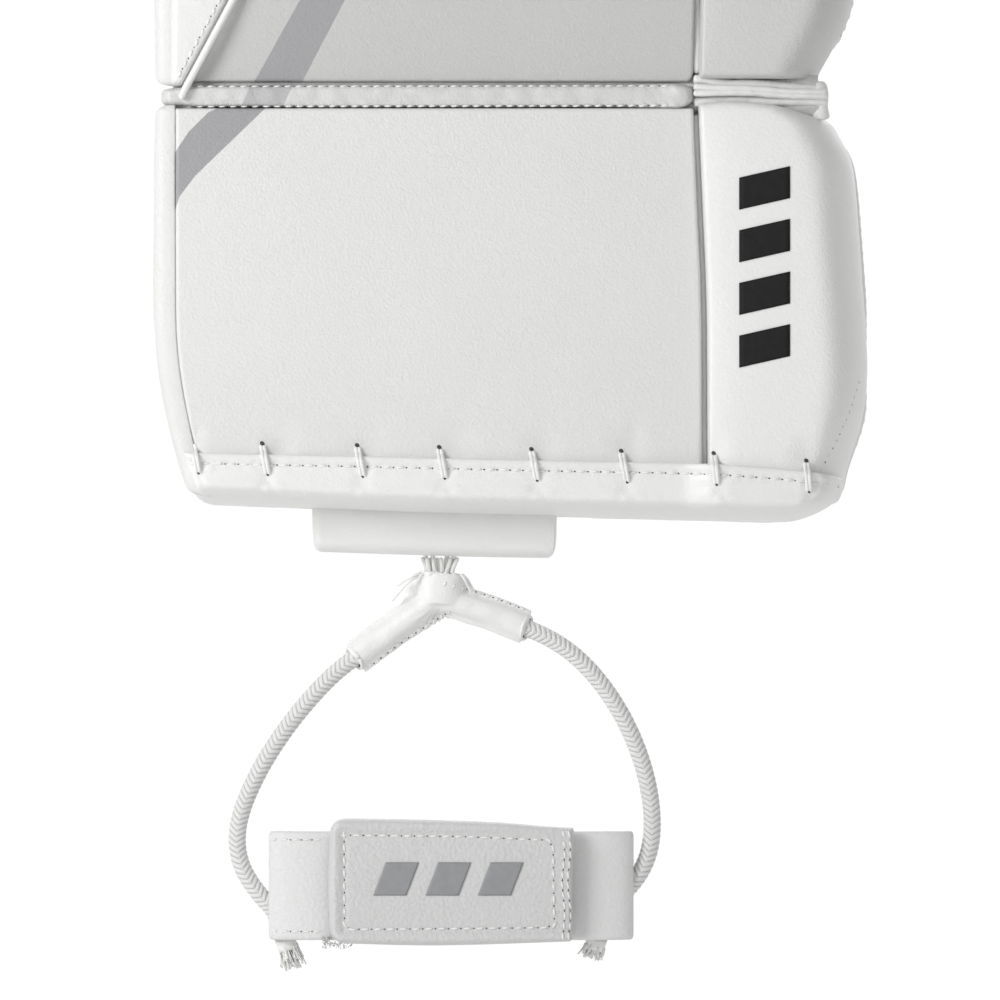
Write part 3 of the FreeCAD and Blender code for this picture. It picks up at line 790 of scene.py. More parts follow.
def swell(piece: Piece, cap: float, voxel: float = 5.0, pressure: float = 4.0) -> None:
    """Fill a cushion with air pressure as cloth, and keep the result in its mesh.

    Args:
        piece: Closed form, in metres.
        cap: How far a point may move, in millimetres.
        voxel: Cell size of the even mesh it is given first, in millimetres.
        pressure: Pressure inside.
    """
    remesh = piece.modifiers.new("Even", "REMESH")
    remesh.mode = "VOXEL"
    remesh.voxel_size = voxel * MM
    keep_evaluated(piece)
    cloth = piece.modifiers.new("Cloth", "CLOTH")
    cloth.settings.use_pressure = True
    cloth.settings.uniform_pressure_force = pressure
    cloth.settings.effector_weights.gravity = 0.0
    cloth.settings.tension_stiffness = 12.0
    cloth.settings.compression_stiffness = 12.0
    cloth.point_cache.frame_start = 1
    cloth.point_cache.frame_end = 20
    start = [vert.co.copy() for vert in piece.data.vertices]
    scene = bpy.context.scene
    for frame_number in range(1, 21):
        scene.frame_set(frame_number)
    seen = piece.evaluated_get(bpy.context.evaluated_depsgraph_get())
    ends = [vert.co.copy() for vert in seen.data.vertices]
    piece.modifiers.remove(cloth)
    scene.frame_set(1)
    for vert, before, after in zip(piece.data.vertices, start, ends):
        move = after - before
        if move.length > cap * MM:
            move = move.normalized() * cap * MM
        vert.co = before + move


def keep_evaluated(piece: Piece) -> None:
    """Apply a piece's modifiers to its mesh."""
    bpy.context.view_layer.update()
    seen = piece.evaluated_get(bpy.context.evaluated_depsgraph_get())
    data = bpy.data.meshes.new_from_object(seen)
    old = piece.data
    for polygon in data.polygons:
        polygon.use_smooth = True
    piece.modifiers.clear()
    data.name = old.name
    piece.data = data
    if not data.materials:
        data.materials.append(old.materials[0])


class Skin:
    """Surface of finished pieces, which thread, laces and prints are laid on."""

    def __init__(self, pieces: Sequence[Piece]) -> None:
        """Take the pieces' shown surfaces.

        Args:
            pieces: Objects whose surface counts.
        """
        bpy.context.view_layer.update()
        graph = bpy.context.evaluated_depsgraph_get()
        self.trees = []
        for piece in pieces:
            data = bpy.data.meshes.new_from_object(piece.evaluated_get(graph))
            data.calc_loop_triangles()
            corners = [tuple(face.vertices) for face in data.loop_triangles if face.area > 0.0]
            places = [vert.co.copy() for vert in data.vertices]
            self.trees.append(BVHTree.FromPolygons(places, corners, all_triangles=True))
            bpy.data.meshes.remove(data)

    def hit(self, start: Vector, way: Vector) -> Optional[tuple[Vector, Vector]]:
        """Nearest point in millimetres and its normal along a ray, if it meets a piece."""
        best = None
        for tree in self.trees:
            point, normal, _, distance = tree.ray_cast(start * MM, way)
            if point is not None and (best is None or distance < best[2]):
                best = (point / MM, normal if normal.dot(way) < 0 else -normal, distance)
        return None if best is None else (best[0], best[1])

    def front(self, x: float, z: float) -> Optional[tuple[Vector, Vector]]:
        """Point of the front surface at a place of the front view."""
        return self.hit(Vector((x, -160.0, z)), Vector((0.0, 1.0, 0.0)))

    def back(self, x: float, z: float) -> Optional[tuple[Vector, Vector]]:
        """Point of the surface seen from behind."""
        return self.hit(Vector((x, 260.0, z)), Vector((0.0, -1.0, 0.0)))


def evenly(path: Path, pitch: float) -> list[Vector]:
    """Points at an even pitch along a path."""
    lengths = travel(path)
    count = max(int(lengths[-1] / pitch), 1)
    points = []
    index = 0
    for step in range(count + 1):
        goal = lengths[-1] * step / count
        while index < len(path) - 2 and lengths[index + 1] < goal:
            index += 1
        span = lengths[index + 1] - lengths[index]
        share = (goal - lengths[index]) / span if span else 0.0
        points.append(path[index].lerp(path[index + 1], clamp(share)))
    return points


def bead(shape: Shape, matrix: Matrix, around: int, up: int, radius: float = 1.0) -> None:
    """Add a ball of a few faces, placed and stretched by a matrix."""
    bmesh.ops.create_uvsphere(shape, u_segments=around, v_segments=up, radius=radius, matrix=matrix)


@dataclass
class Seamstress:
    """Collects the stitches of one body, then sews them as two pieces: thread and needle holes."""

    body: str
    thread: Shape = field(default_factory=bmesh.new)
    holes: Shape = field(default_factory=bmesh.new)

    def sew(
        self, hits: Sequence[tuple[Vector, Vector]], length: float = 3.0, width: float = 0.55,
        slant: float = 10.0, holes: bool = True,
    ) -> None:
        """Lay a stitch at every point of a row.

        Args:
            hits: Points on the leather with their normals, a stitch's pitch apart.
            length: Length of a stitch.
            width: Half the thread's thickness.
            slant: Turn of each stitch out of the row, in degrees.
            holes: Whether needle holes show between the stitches.
        """
        for index, (point, normal) in enumerate(hits):
            before = hits[max(index - 1, 0)][0]
            after = hits[min(index + 1, len(hits) - 1)][0]
            way = after - before
            way = (way - normal * way.dot(normal)).normalized()
            place = self.basis(point + normal * width * 0.25, way, normal)
            turn = Matrix.Rotation(radians(slant), 4, "Z")
            size = Matrix.Diagonal((length / 2.0, width, width * 0.8, 1.0))
            bead(self.thread, place @ turn @ size, 6, 4)
            if holes and index < len(hits) - 1:
                hole = self.basis(point.lerp(after, 0.5) + normal * 0.02, way, normal)
                bead(self.holes, hole @ Matrix.Diagonal((0.46, 0.34, 0.12, 1.0)), 6, 3)

    def row(self, skin: Skin, path: Path, pitch: float = 4.3, behind: bool = False, **style) -> None:
        """Sew a row along a path of the front view, or of the back view."""
        look = skin.back if behind else skin.front
        hits = [look(point.x, point.z) for point in evenly(path, pitch)]
        self.sew([hit for hit in hits if hit is not None], **style)

    @staticmethod
    def basis(point: Vector, way: Vector, normal: Vector) -> Matrix:
        """Frame at a point, its first axis along way and its third along normal."""
        side = normal.cross(way).normalized()
        turn = Matrix((way, side, normal)).transposed().to_4x4()
        return Matrix.Translation(point) @ turn

    def hole_at(self, point: Vector, normal: Vector, size: float) -> None:
        """Sink one round dark hole into the leather."""
        way = normal.orthogonal().normalized()
        flat = Matrix.Diagonal((size, size * 1.25, 0.35, 1.0))
        bead(self.holes, self.basis(point, way, normal) @ flat, 10, 4)

    def done(self) -> None:
        """Make the thread and the holes of this body into pieces."""
        for part, shape, finish in (("thread", self.thread, THREAD), ("holes", self.holes, HOLE)):
            if len(shape.verts):
                piece = finished(f"{self.body}_{part}", shape, finish, levels=0)
                placed(piece, self.body, "lace" if part == "thread" else "cover_leather")


def flat_path(*points: Pair) -> list[Vector]:
    """Path of the front view from across and height pairs."""
    return [Vector((x, 0.0, z)) for x, z in points]


# ---------------- one section of the pad

CREASE: Knots = (
    (-164.0, 75.8), (-142.0, 75.7), (-80.0, 75.3), (-41.0, 73.7), (-4.0, 72.2), (8.0, 72.4),
    (40.0, 73.0), (700.0, 73.6),
)
TOE_SHIFT: Knots = (
    (-166.0, 22.0), (-160.0, 17.0), (-154.0, 12.5), (-129.0, 5.6), (-99.0, 0.8), (-60.0, 0.0),
)


def toe_shift(z: float) -> float:
    """How far the boot's inner side leans in towards the toe at a height."""
    return follow(TOE_SHIFT, z)


@dataclass(frozen=True)
class Section:
    """One stiff length of the pad between two breaks."""

    name: str
    low: float
    high: float
    leather: Finish
    toe: bool = False
    top: bool = False
    half: float = 140.0
    gusset: float = 8.0
    face_depth: float = 60.0
    roll_depth: float = 66.0
    cell: float = 3.2

    def count(self, size: float) -> int:
        """Grid cells for a length."""
        return max(int(size / self.cell), 12)

    def outer_edge(self) -> Knots:
        """Outline of the outer roll: it draws in at both breaks, and to the toe."""
        low, high = self.low, self.high
        lower = (
            (low, 119.0), (low + 6, 121.5), (low + 12, 124.8), (low + 21, 129.7), (low + 33, 133.8),
            (low + 66, 138.6),
        )
        upper = (
            (high - 60, 138.0), (high - 21, 134.0), (high - 14, 129.0), (high - 6, 121.5),
            (high - 2, 118.0),
        )
        if self.toe:
            lower = (
                (-165.0, 122.0), (-158.0, 129.0), (-146.0, 132.0), (-127.0, 138.0), (-111.0, 140.0),
                (-100.0, 140.0),
            )
            upper = (
                (-56.0, 137.0), (-30.0, 134.9), (-22.8, 133.0), (-14.0, 128.3), (-10.0, 125.5),
                (-6.0, 119.0),
            )
        if self.top:
            upper = ((high - 60, 139.5), (high, 140.0))
        return lower + upper

    def face(self) -> Piece:
        """Front cover between the inner seam and the crease."""
        inner = -self.half + self.gusset
        seam = tuple((z, inner + shift) for z, shift in TOE_SHIFT) if self.toe else level(inner)
        crease = tuple((z, x - 0.1) for z, x in CREASE)
        panel = Panel(
            left=seam, right=crease, low=level(self.low + 7.0 if self.toe else self.low - 1.4),
            high=level(self.high if self.top else self.high + 1.2), back=25.0,
            front=self.face_depth, crown=1.2, soft=(1.8, 1.8, 3.6, 3.2),
            corners=(2.0, 2.0 if self.toe else 7.0, 2.0, 2.0),
            taper=(0.0 if self.toe else 9.5, 0.0 if self.top else 9.5),
            cells=(self.count(205.0), self.count(self.high - self.low)),
        )
        shape = panel.form(self.face_relief)
        self.stuff("face_foam", replace(panel.shrunk(2.4, 25.4), front=self.face_depth - 6.5), FOAM)
        piece = finished(f"{self.name}_face", shape, self.leather)
        return placed(piece, self.name, "cover_leather", f"{self.name}_face_cover")

    def face_relief(self, x: float, z: float) -> float:
        """Slow waves of the stretched leather, its fall to the break, and dimples at the lacing."""
        depth = 0.5 * uneven(x, z, 90.0, 70.0, self.low / 50.0)
        if not self.toe:
            depth -= 3.6 * bump(z - self.low, 34.0)
        for index in range(8) if self.toe else ():
            lace_x = -124.0 + 34.1 * index
            depth -= 1.6 * bump(hypot(x - lace_x, (z + 137.0) * 0.8), 4.5)
            fan = atan2(z + 137.0, x - lace_x)
            reach = hypot(x - lace_x, z + 137.0)
            depth -= 0.35 * bump(reach - 6.0, 5.0) * cos(fan * 5.0)
        return depth

    def roll(self) -> Piece:
        """Raised outer roll, rounder than the face."""
        crease = tuple((z, x + 0.1) for z, x in CREASE)
        low = level(self.low + 4.0 if self.toe else self.low - 2.0)
        high = level(self.high if self.top else self.high + 1.5)
        if self.toe:
            high = ((72.0, 0.6), (85.0, 2.0), (104.0, 0.2), (119.0, -3.6), (140.0, -7.0))
        panel = Panel(
            left=crease, right=self.outer_edge(), low=low, high=high, back=25.0,
            front=self.roll_depth, crown=3.0, soft=(2.2, 20.0, 7.0, 7.0),
            corners=(4.0, 2.0, 4.0, 2.0),
            taper=(0.0 if self.toe else 9.5, 0.0 if self.top else 9.5),
            cells=(40, self.count(self.high - self.low)), fullness=2.2,
        )
        shape = panel.form(self.roll_relief)
        self.stuff("roll_foam", panel.shrunk(3.2, 25.4), FOAM)
        self.stuff("rear_core", self.core_panel(panel, 2.0, 24.6), FOAM)
        # Above the boot the roll is given the darker copy of the white leather: painted shade.
        leather = COVER_LEATHER if self.toe else SHADED_ROLL_LEATHER
        piece = finished(f"{self.name}_roll", shape, leather)
        return placed(piece, self.name, "cover_leather", f"{self.name}_roll_cover")

    def core_panel(self, roll: Panel, back: float, front: float) -> Panel:
        """Block behind the face and the roll, from one side of the pad to the other."""
        inner = -self.half + self.gusset + 1.5
        gap = 0.0 if self.toe else 15.0
        return Panel(
            left=tuple((z, inner + shift) for z, shift in TOE_SHIFT) if self.toe else level(inner),
            right=tuple((z, x - 4.0) for z, x in roll.right), low=level(self.low + max(gap, 9.0)),
            high=level(self.high - (3.0 if self.top else 15.0)), back=back, front=front, crown=0.2,
            soft=(1.0,) * 4, corners=(4.0,) * 4, cells=(24, 24),
        )

    def stuff(self, part: str, panel: Panel, finish: Finish) -> None:
        """Put a block inside this section in place of its solid part."""
        block = finished(f"{self.name}_{part}_block", panel.form(), finish, levels=0, sharp=50.0)
        slot = "core_foam" if part == "rear_core" else "face_foam"
        placed(block, self.name, slot, f"{self.name}_{part}")

    def roll_relief(self, x: float, z: float) -> float:
        """Facet from the side seam to the toe, shallow waves, dimples at the lacing."""
        depth = 0.6 * uneven(x, z, 40.0, 60.0, 7.0)
        if self.toe:
            facet = (z + 109.0) * 0.66 - (x - 138.0) * 0.75
            depth -= 3.0 * ease(-facet / 22.0) * ease((x - 96.0) / 30.0)
            for lace_x in (79.0, 115.0):
                depth -= 1.8 * bump(hypot(x - lace_x, (z + 140.0) * 0.8), 4.5)
            shoulder = (x - 118.0) * 0.86 + (z + 6.0) * 0.5
            depth -= 5.0 * ease(shoulder / 14.0) * ease((z + 46.0) / 26.0)
        return depth

    def gusset_side(self) -> Piece:
        """Padded strip down the inner side, slanted away behind each break."""
        low = ((0.0, self.low + 14.0), (57.0, self.low - 2.0))
        high = ((0.0, self.high - 14.0), (57.0, self.high + 2.0))
        if self.toe:
            low = level(self.low + 7.0)
        if self.top:
            high = level(self.high)
        panel = Panel(
            left=level(0.0), right=level(57.0), low=low, high=high, back=131.0, front=self.half,
            crown=1.2, soft=(5.0, 4.5, 5.0, 5.0), corners=(3.0, 5.0, 3.0, 5.0),
            cells=(20, self.count(self.high - self.low)),
        )
        shape = panel.form(lambda x, z: 0.5 * uneven(x, z, 20.0, 30.0, 3.0), facing=Facing.INNER)
        if self.toe:
            for vert in shape.verts:
                vert.co.x += toe_shift(vert.co.z)
        piece = finished(f"{self.name}_gusset", shape, SIDE_LEATHER)
        return placed(piece, self.name, "cover_leather", f"{self.name}_rear_cover")

    def outer_strip(self) -> Piece:
        """Side of the pad behind the outer roll."""
        edge = self.outer_edge()
        low = ((-27.0, self.low + 7.0), (0.0, self.low + 13.0))
        high = ((-27.0, self.high - 7.0), (0.0, self.high - 13.0))
        if self.toe:
            low = level(self.low + 2.0)
        if self.top:
            high = level(self.high)
        panel = Panel(
            left=level(-27.0), right=level(0.0), low=low, high=high, back=60.0, front=self.half,
            crown=1.0, soft=(4.0, 6.0, 8.0, 8.0), corners=(2.0, 6.0, 2.0, 6.0),
            cells=(14, self.count(self.high - self.low)),
        )
        shape = panel.form(facing=Facing.OUTER)
        for vert in shape.verts:
            if vert.co.x > 100.0:
                vert.co.x += min(follow(edge, vert.co.z) + 1.2, self.half) - self.half
        piece = finished(f"{self.name}_outer_side", shape, COVER_LEATHER)
        return placed(piece, self.name, "cover_leather")

    def lining(self) -> Piece:
        """Brushed lining over the flat back."""
        inset = 0.0 if self.toe else 14.0
        panel = Panel(
            left=tuple((z, 2.0 - x) for z, x in self.outer_edge()), right=level(137.0),
            low=level(self.low + (8.0 if self.toe else inset)),
            high=level(self.high - (2.0 if self.top else 14.0)), back=-3.0, front=0.6, crown=0.6,
            soft=(4.0,) * 4, corners=(8.0,) * 4,
            cells=(self.count(275.0) // 2, self.count(self.high - self.low) // 2),
        )
        shape = panel.form(facing=Facing.BACK)
        if self.toe:
            for vert in shape.verts:
                vert.co.x += toe_shift(vert.co.z) * ease(-vert.co.x / 130.0)
        piece = finished(f"{self.name}_back_lining", shape, LINING)
        return placed(piece, self.name, "lining_fabric")

    def seam_cords(self) -> None:
        """Leather cords at the bottom of the two upright seams."""
        start, end = self.low + (8.0 if self.toe else 4.0), self.high - (8.0 if self.top else 3.0)
        count = int((end - start) / 5.0)
        heights = [mix(start, end, step / count) for step in range(count + 1)]
        inner = -self.half + self.gusset
        lean = toe_shift if self.toe else lambda z: 0.0
        lines = (
            [Vector((follow(CREASE, z), 7.2 - self.face_depth, z)) for z in heights],
            [Vector((inner + lean(z), 5.4 - self.face_depth, z)) for z in heights],
        )
        shape = merged([tube(line, 1.5, sides=10) for line in lines])
        piece = finished(f"{self.name}_seam_cords", shape, COVER_LEATHER)
        placed(piece, self.name, "welt_leather")

    def build(self) -> list[Piece]:
        """All covers of this section; the first two are its front."""
        self.seam_cords()
        return [self.face(), self.roll(), self.gusset_side(), self.outer_strip(), self.lining()]


# ---------------- the breaks


@dataclass(frozen=True)
class Break:
    """A flex break: soft band in front, gathers between the rolls, pleated lining behind."""

    name: str
    z: float
    below: str
    above: str
    owner: str
    node: str
    depth: float = 56.0
    reach: float = 4.2
    under: Knots = ((-137.0, 3.6), (-120.0, 5.2), (40.0, 5.4), (66.0, 5.8), (72.0, 3.0))
    over: Knots = ((-137.0, 2.6), (-120.0, 4.4), (40.0, 4.8), (64.0, 5.0), (72.0, 3.4))
    # Rise, depth and radius of the folds between the rolls.
    folds: tuple[tuple[float, float, float], ...] = (
        (4.0, 54.0, 2.0), (2.2, 57.0, 1.5), (0.6, 57.6, 1.4), (-1.6, 54.0, 2.0),
    )

    def band(self) -> Piece:
        """Soft leather band between two rows of stitches, ending in a puffed knob at the crease."""

        def relief(x: float, z: float) -> float:
            """Puckers between the stitches, and the knob."""
            pucker = 0.3 * sin((x + z * 0.6) * 2.0 * pi / 4.3)
            edge = (abs(z - self.z) / 4.5) ** 2
            sewn = 0.6 * bump(abs(z - self.z) - 3.5, 0.8)
            knob = 1.6 * bump(x - 65.0, 4.5)
            return pucker * edge - sewn + knob + 0.6 * uneven(x, z, 6.0, 5.0, self.z)

        panel = Panel(
            left=level(-137.0), right=level(72.5),
            low=tuple((x, self.z - drop) for x, drop in self.under),
            high=tuple((x, self.z + rise) for x, rise in self.over), back=46.0,
            front=self.depth + 3.0, crown=0.4, soft=(4.0, 4.0, 1.8, 1.8),
            corners=(2.0,) * 4, cells=(190, 14), fullness=2.0, crowding=0.3,
        )
        piece = finished(f"{self.name}_soft_band", panel.form(relief), BAND_LEATHER)
        self.bend(piece, self.reach)
        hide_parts(self.node)
        return piece

    def bend(self, piece: Piece, reach: float) -> None:
        """Bake a piece's place into its mesh and log the sections above and below it."""
        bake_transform(piece)
        log.info("%s between %s and %s", piece.name, self.above, self.below)

    def gathers(self) -> Piece:
        """Folds of leather between the two rolls, one over the other."""
        folds = []
        draw = random.Random(round(self.z) + 5)
        for index, (rise, depth, radius) in enumerate(self.folds):
            phase = draw.uniform(0.0, 6.0)
            path = []
            for step in range(33):
                share = step / 32.0
                x = mix(71.0, 123.5, share)
                spread = 1.0 + 0.6 * bump(share, 0.2)
                z = self.z + rise * spread - 1.4 * share**3 + 0.35 * sin(phase + share * 9.0)
                y = -depth + 0.6 * sin(phase + share * 5.0) + 5.0 * share**4
                path.append(Vector((x, y, z)))

            def crumple(angle: float, run: float, seed: float = index + self.z) -> float:
                """Small dents along a fold."""
                return 0.4 * uneven(run, cos(angle), 3.5, 1.0, seed)

            folds.append(tube(path, radius, sides=10, flat=1.3, relief=crumple))
        bulge = [
            Vector((119.5, -48.0, self.z + 5.0)), Vector((121.0, -50.0, self.z - 1.0)),
            Vector((121.2, -47.0, self.z - 9.0)),
        ]
        knot = tube(evenly(bulge, 1.5), 3.4, sides=12, relief=lambda angle, run: 0.5 * sin(run / 2.0))
        folds.append(knot)
        piece = finished(f"{self.name}_gathers", merged(folds), COVER_LEATHER)
        self.bend(piece, self.reach)
        return piece

    def core(self) -> Piece:
        """Leather that closes the break behind its band."""
        return self.pleats(f"{self.name}_front_skin", 49.0, 8.0, 1, COVER_LEATHER)

    def lining(self) -> Piece:
        """Pleated lining that closes the break behind."""
        return self.pleats(f"{self.name}_rear_lining", 22.0, 22.0, 3, LINING)

    def pleats(
        self, name: str, depth: float, reach: float, count: int, finish: Finish
    ) -> Piece:
        """A strip across the break.

        Args:
            name: Piece's name.
            depth: How far in front of the pad's back it lies.
            reach: Half its height.
            count: Pleats in it.
            finish: Its surface.

        Returns:
            The strip.
        """
        shape = bmesh.new()
        bmesh.ops.create_grid(shape, x_segments=24, y_segments=16 * count, size=1.0)
        for vert in shape.verts:
            across, up = vert.co.x, vert.co.y
            fold = sin((up + 1.0) * pi * count) ** 2
            vert.co = Vector((126.0 * across - 6.0, -depth - 3.0 * fold, self.z + reach * up))
        shape.normal_update()
        bmesh.ops.solidify(shape, geom=shape.faces[:], thickness=1.2)
        piece = finished(name, shape, finish, levels=0)
        self.bend(piece, reach * 0.8)
        return piece

    def build(self) -> list[Piece]:
        """Every piece of the break; the first is its band."""
        return [self.band(), self.gathers(), self.core(), self.lining()]


# ---------------- trim of the shin


@dataclass(frozen=True)
class SidePanel:
    """Raised panel on the shin's inner side, edged by a welt that slants down to the boot break."""

    corner: Pair = (-84.0, 84.0)
    foot: Pair = (-131.0, -1.0)
    top: float = 280.0

    def build(self, seams: Seamstress) -> None:
        """Panel, welt and the row of stitches beside it."""
        edge = (
            (self.foot[1], self.foot[0] + 1.0), (37.0, -109.5),
            (self.corner[1], self.corner[0] - 1.5), (96.0, self.corner[0]),
            (self.top, self.corner[0]),
        )
        panel = Panel(
            left=level(-133.0), right=edge, low=level(2.6), high=level(self.top), back=50.0,
            front=62.6, crown=0.8, soft=(3.0, 3.0, 3.0, 4.0), corners=(2.0, 0.5, 4.0, 4.0),
            cells=(26, 90), crowding=0.4,
        )

        def relief(x: float, z: float) -> float:
            """Creases that run off the welt, near the break."""
            return 0.5 * uneven(x, z, 9.0, 5.0, 1.0) * bump(z - 10.0, 40.0)

        piece = finished("shin_side_panel_cover", panel.form(relief), TRIM_LEATHER)
        placed(piece, "shin", "cover_leather", "shin_side_panel")
        line = [Vector((follow(edge, z) + 1.2, -61.8, z)) for z in range(-2, 280, 3)]
        for point in line:
            point.y += 1.2 * bump(point.z - 2.0, 14.0)
        welt = finished("shin_welt", tube(line, 1.5, sides=12), TRIM_LEATHER)
        placed(welt, "shin", "welt_leather", "shin_panel_welt")
        skin = Skin([piece])
        row = [Vector((follow(edge, z) - 4.0, 0.0, z)) for z in range(8, 276, 4)]
        seams.row(skin, row, pitch=4.6)


# ---------------- toe end


@dataclass(frozen=True)
class ToeEnd:
    """Binding round the toe with its welt, stitches and lacing, and the toe bridge's flap."""

    lip: Knots = (
        (-132.0, -138.6), (-126.0, -139.2), (-60.0, -140.6), (20.0, -142.4), (76.0, -143.6),
        (110.0, -146.0), (132.0, -149.0),
    )
    bottom: Knots = (
        (-119.0, -160.0), (-100.0, -160.8), (-40.0, -163.6), (20.0, -165.0), (80.0, -166.4),
        (112.0, -167.0), (124.0, -165.0),
    )
    left: Knots = (
        (-162.0, -118.0), (-157.0, -124.0), (-152.0, -126.5), (-146.0, -129.0), (-138.0, -131.0),
    )
    right: Knots = (
        (-167.0, 116.0), (-163.0, 123.0), (-158.0, 128.5), (-152.0, 131.6), (-146.0, 132.4),
    )
    loops: tuple[float, ...] = (-124.0, -97.0, -60.0, -28.0, 8.0, 43.0, 79.0, 115.0)

    def depth_at(self, x: float) -> float:
        """Depth of the binding's front: it rises over the outer roll."""
        return mix(0.0, 5.6, ease((x - 66.0) / 16.0)) - 5.0 * ease((x - 112.0) / 22.0)

    def relief(self, x: float, z: float) -> float:
        """Puckers under each loop and along the stitch row."""
        depth = self.depth_at(x) + 0.3 * uneven(x, z, 25.0, 12.0, 2.0)
        row = follow(self.lip, x) - 4.4
        depth -= 0.55 * bump(z - row, 1.3) * (0.7 + 0.3 * cos(x * 2.0 * pi / 5.0))
        depth += 0.7 * bump(z - row - 2.4, 1.5)
        for loop in self.loops:
            reach = hypot(x - loop - 2.0, (z - row + 5.0) * 0.9)
            fan = atan2(z - row + 5.0, x - loop - 2.0)
            depth -= 0.9 * bump(reach, 3.0) + 0.25 * bump(reach - 5.0, 3.0) * cos(6.0 * fan)
        return depth

    def binding(self) -> Piece:
        """Leather bound over the whole toe."""
        panel = Panel(
            left=self.left, right=self.right, low=self.bottom, high=self.lip, back=-1.0, front=62.6, crown=0.4,
            soft=(5.0, 12.0, 9.0, 0.0), corners=(3.0, 6.0, 0.0, 2.0), cells=(170, 24),
            crowding=0.35, fullness=2.3,
        )
        piece = finished("toe_binding_cover", panel.form(self.relief), TRIM_LEATHER)
        return placed(piece, "boot", "cover_leather", "toe_binding")

    def build(self, front: Sequence[Piece], seams: Seamstress) -> None:
        """All of the toe's trim.

        Args:
            front: Covers that the lacing lies on.
            seams: Stitches of the boot.
        """
        binding = self.binding()
        skin = Skin([binding, *front])
        only = Skin([binding])
        row = [Vector((x, 0.0, follow(self.lip, x) - 4.4)) for x in range(-124, 130, 2)]
        seams.row(only, row, pitch=5.0, length=3.6, width=0.5, slant=6.0)
        laces = []
        for index, x in enumerate(self.loops):
            lean = 2.2 if index < 6 else 1.0
            top = follow(self.lip, x) + 3.4
            low = top - 11.6
            for side in (-0.62, 0.62):
                path = []
                for step in range(9):
                    share = step / 8.0
                    px = mix(x + side, x + side + lean, share)
                    pz = mix(top, low, share)
                    hit = skin.front(px, pz)
                    if hit is None:
                        continue
                    lift = 0.2 + 1.1 * sin(pi * share)
                    path.append(hit[0] + Vector((0.0, -lift, 0.0)))
                if len(path) > 3:
                    laces.append(tube(path, 0.86, sides=8))
            for px, pz, size in ((x, top + 0.5, 0.85), (x + lean, low - 0.1, 0.5)):
                hit = skin.front(px, pz)
                if hit is not None:
                    seams.hole_at(hit[0], hit[1], size)
        piece = finished("toe_laces", merged(laces), LACE)
        placed(piece, "boot", "lace", "toe_lacing")
        self.bridge()

    def bridge(self) -> None:
        """Folded flap of the toe bridge and the laces that come out behind it."""
        panel = Panel(
            left=((-182.0, -75.5), (-176.0, -77.6), (-162.0, -78.4)),
            right=((-182.0, 14.0), (-178.0, 17.4), (-162.0, 18.2)),
            low=((-78.0, -178.4), (-50.0, -179.4), (-10.0, -180.6), (18.0, -181.0)),
            high=level(-160.0), back=20.0, front=30.5, crown=1.0, soft=(3.0, 1.0, 6.0, 0.0),
            corners=(2.5, 0.6, 0.0, 0.0), cells=(60, 14),
        )
        piece = finished(
            "toe_bridge_cover", panel.form(lambda x, z: 0.5 * uneven(x, z, 20.0, 8.0, 5.0)),
            TRIM_LEATHER,
        )
        placed(piece, "boot", "strap_leather", "toe_bridge_flap")
        strands = []
        for index, x in enumerate((-33.0, -30.6, -25.4, -23.0)):
            y = -17.0 - 1.3 * (index % 2)
            path = [
                Vector((x + 0.6 * sin(step * 0.9 + index), y, -166.0 - 15.5 * step / 6.0))
                for step in range(7)
            ]
            strands.append(tube(path, 1.15, sides=8))
        piece = finished("toe_bridge_lace", merged(strands), LACE)
        placed(piece, "boot", "lace", "toe_bridge_laces")


# ---------------- toe tie

# The legs of the elastic cord, from the connector's mouth into the strap, in metres.
INNER_ROUTE = (
    (-0.0600, -0.017, -0.2190), (-0.0679, -0.017, -0.2244), (-0.0805, -0.017, -0.2375),
    (-0.0920, -0.017, -0.2525), (-0.1015, -0.017, -0.2685), (-0.1080, -0.017, -0.2855),
    (-0.1075, -0.017, -0.3000), (-0.1005, -0.017, -0.3120), (-0.0915, -0.017, -0.3210),
    (-0.0885, -0.017, -0.3320),
)
OUTER_ROUTE = (
    (0.0040, -0.017, -0.2077), (0.0135, -0.017, -0.2109), (0.0280, -0.017, -0.2210),
    (0.0405, -0.017, -0.2365), (0.0495, -0.017, -0.2540), (0.0550, -0.017, -0.2730),
    (0.0560, -0.017, -0.2910), (0.0520, -0.017, -0.3040), (0.0435, -0.017, -0.3140),
    (0.0360, -0.017, -0.3225), (0.0335, -0.017, -0.3320),
)


def nurbs_line(name: str, route: Sequence[tuple[float, float, float]]) -> list[Vector]:
    """Points in metres along the smooth line of a route.

    Args:
        name: Name of the line.
        route: Control points in metres.

    Returns:
        Points of the evaluated line, in order.
    """
    curve = bpy.data.curves.new(name, "CURVE")
    curve.dimensions = "3D"
    curve.resolution_u = 30
    spline = curve.splines.new("NURBS")
    spline.points.add(len(route) - 1)
    for point, place in zip(spline.points, route):
        point.co = (*place, 1.0)
    spline.order_u = 3
    spline.use_endpoint_u = True
    holder = bpy.data.objects.new(name, curve)
    bpy.context.scene.collection.objects.link(holder)
    bpy.context.view_layer.update()
    seen = holder.evaluated_get(bpy.context.evaluated_depsgraph_get())
    data = bpy.data.meshes.new_from_object(seen)
    points = [vert.co.copy() for vert in data.vertices]
    bpy.data.objects.remove(holder)
    bpy.data.curves.remove(curve)
    bpy.data.meshes.remove(data)
    return points


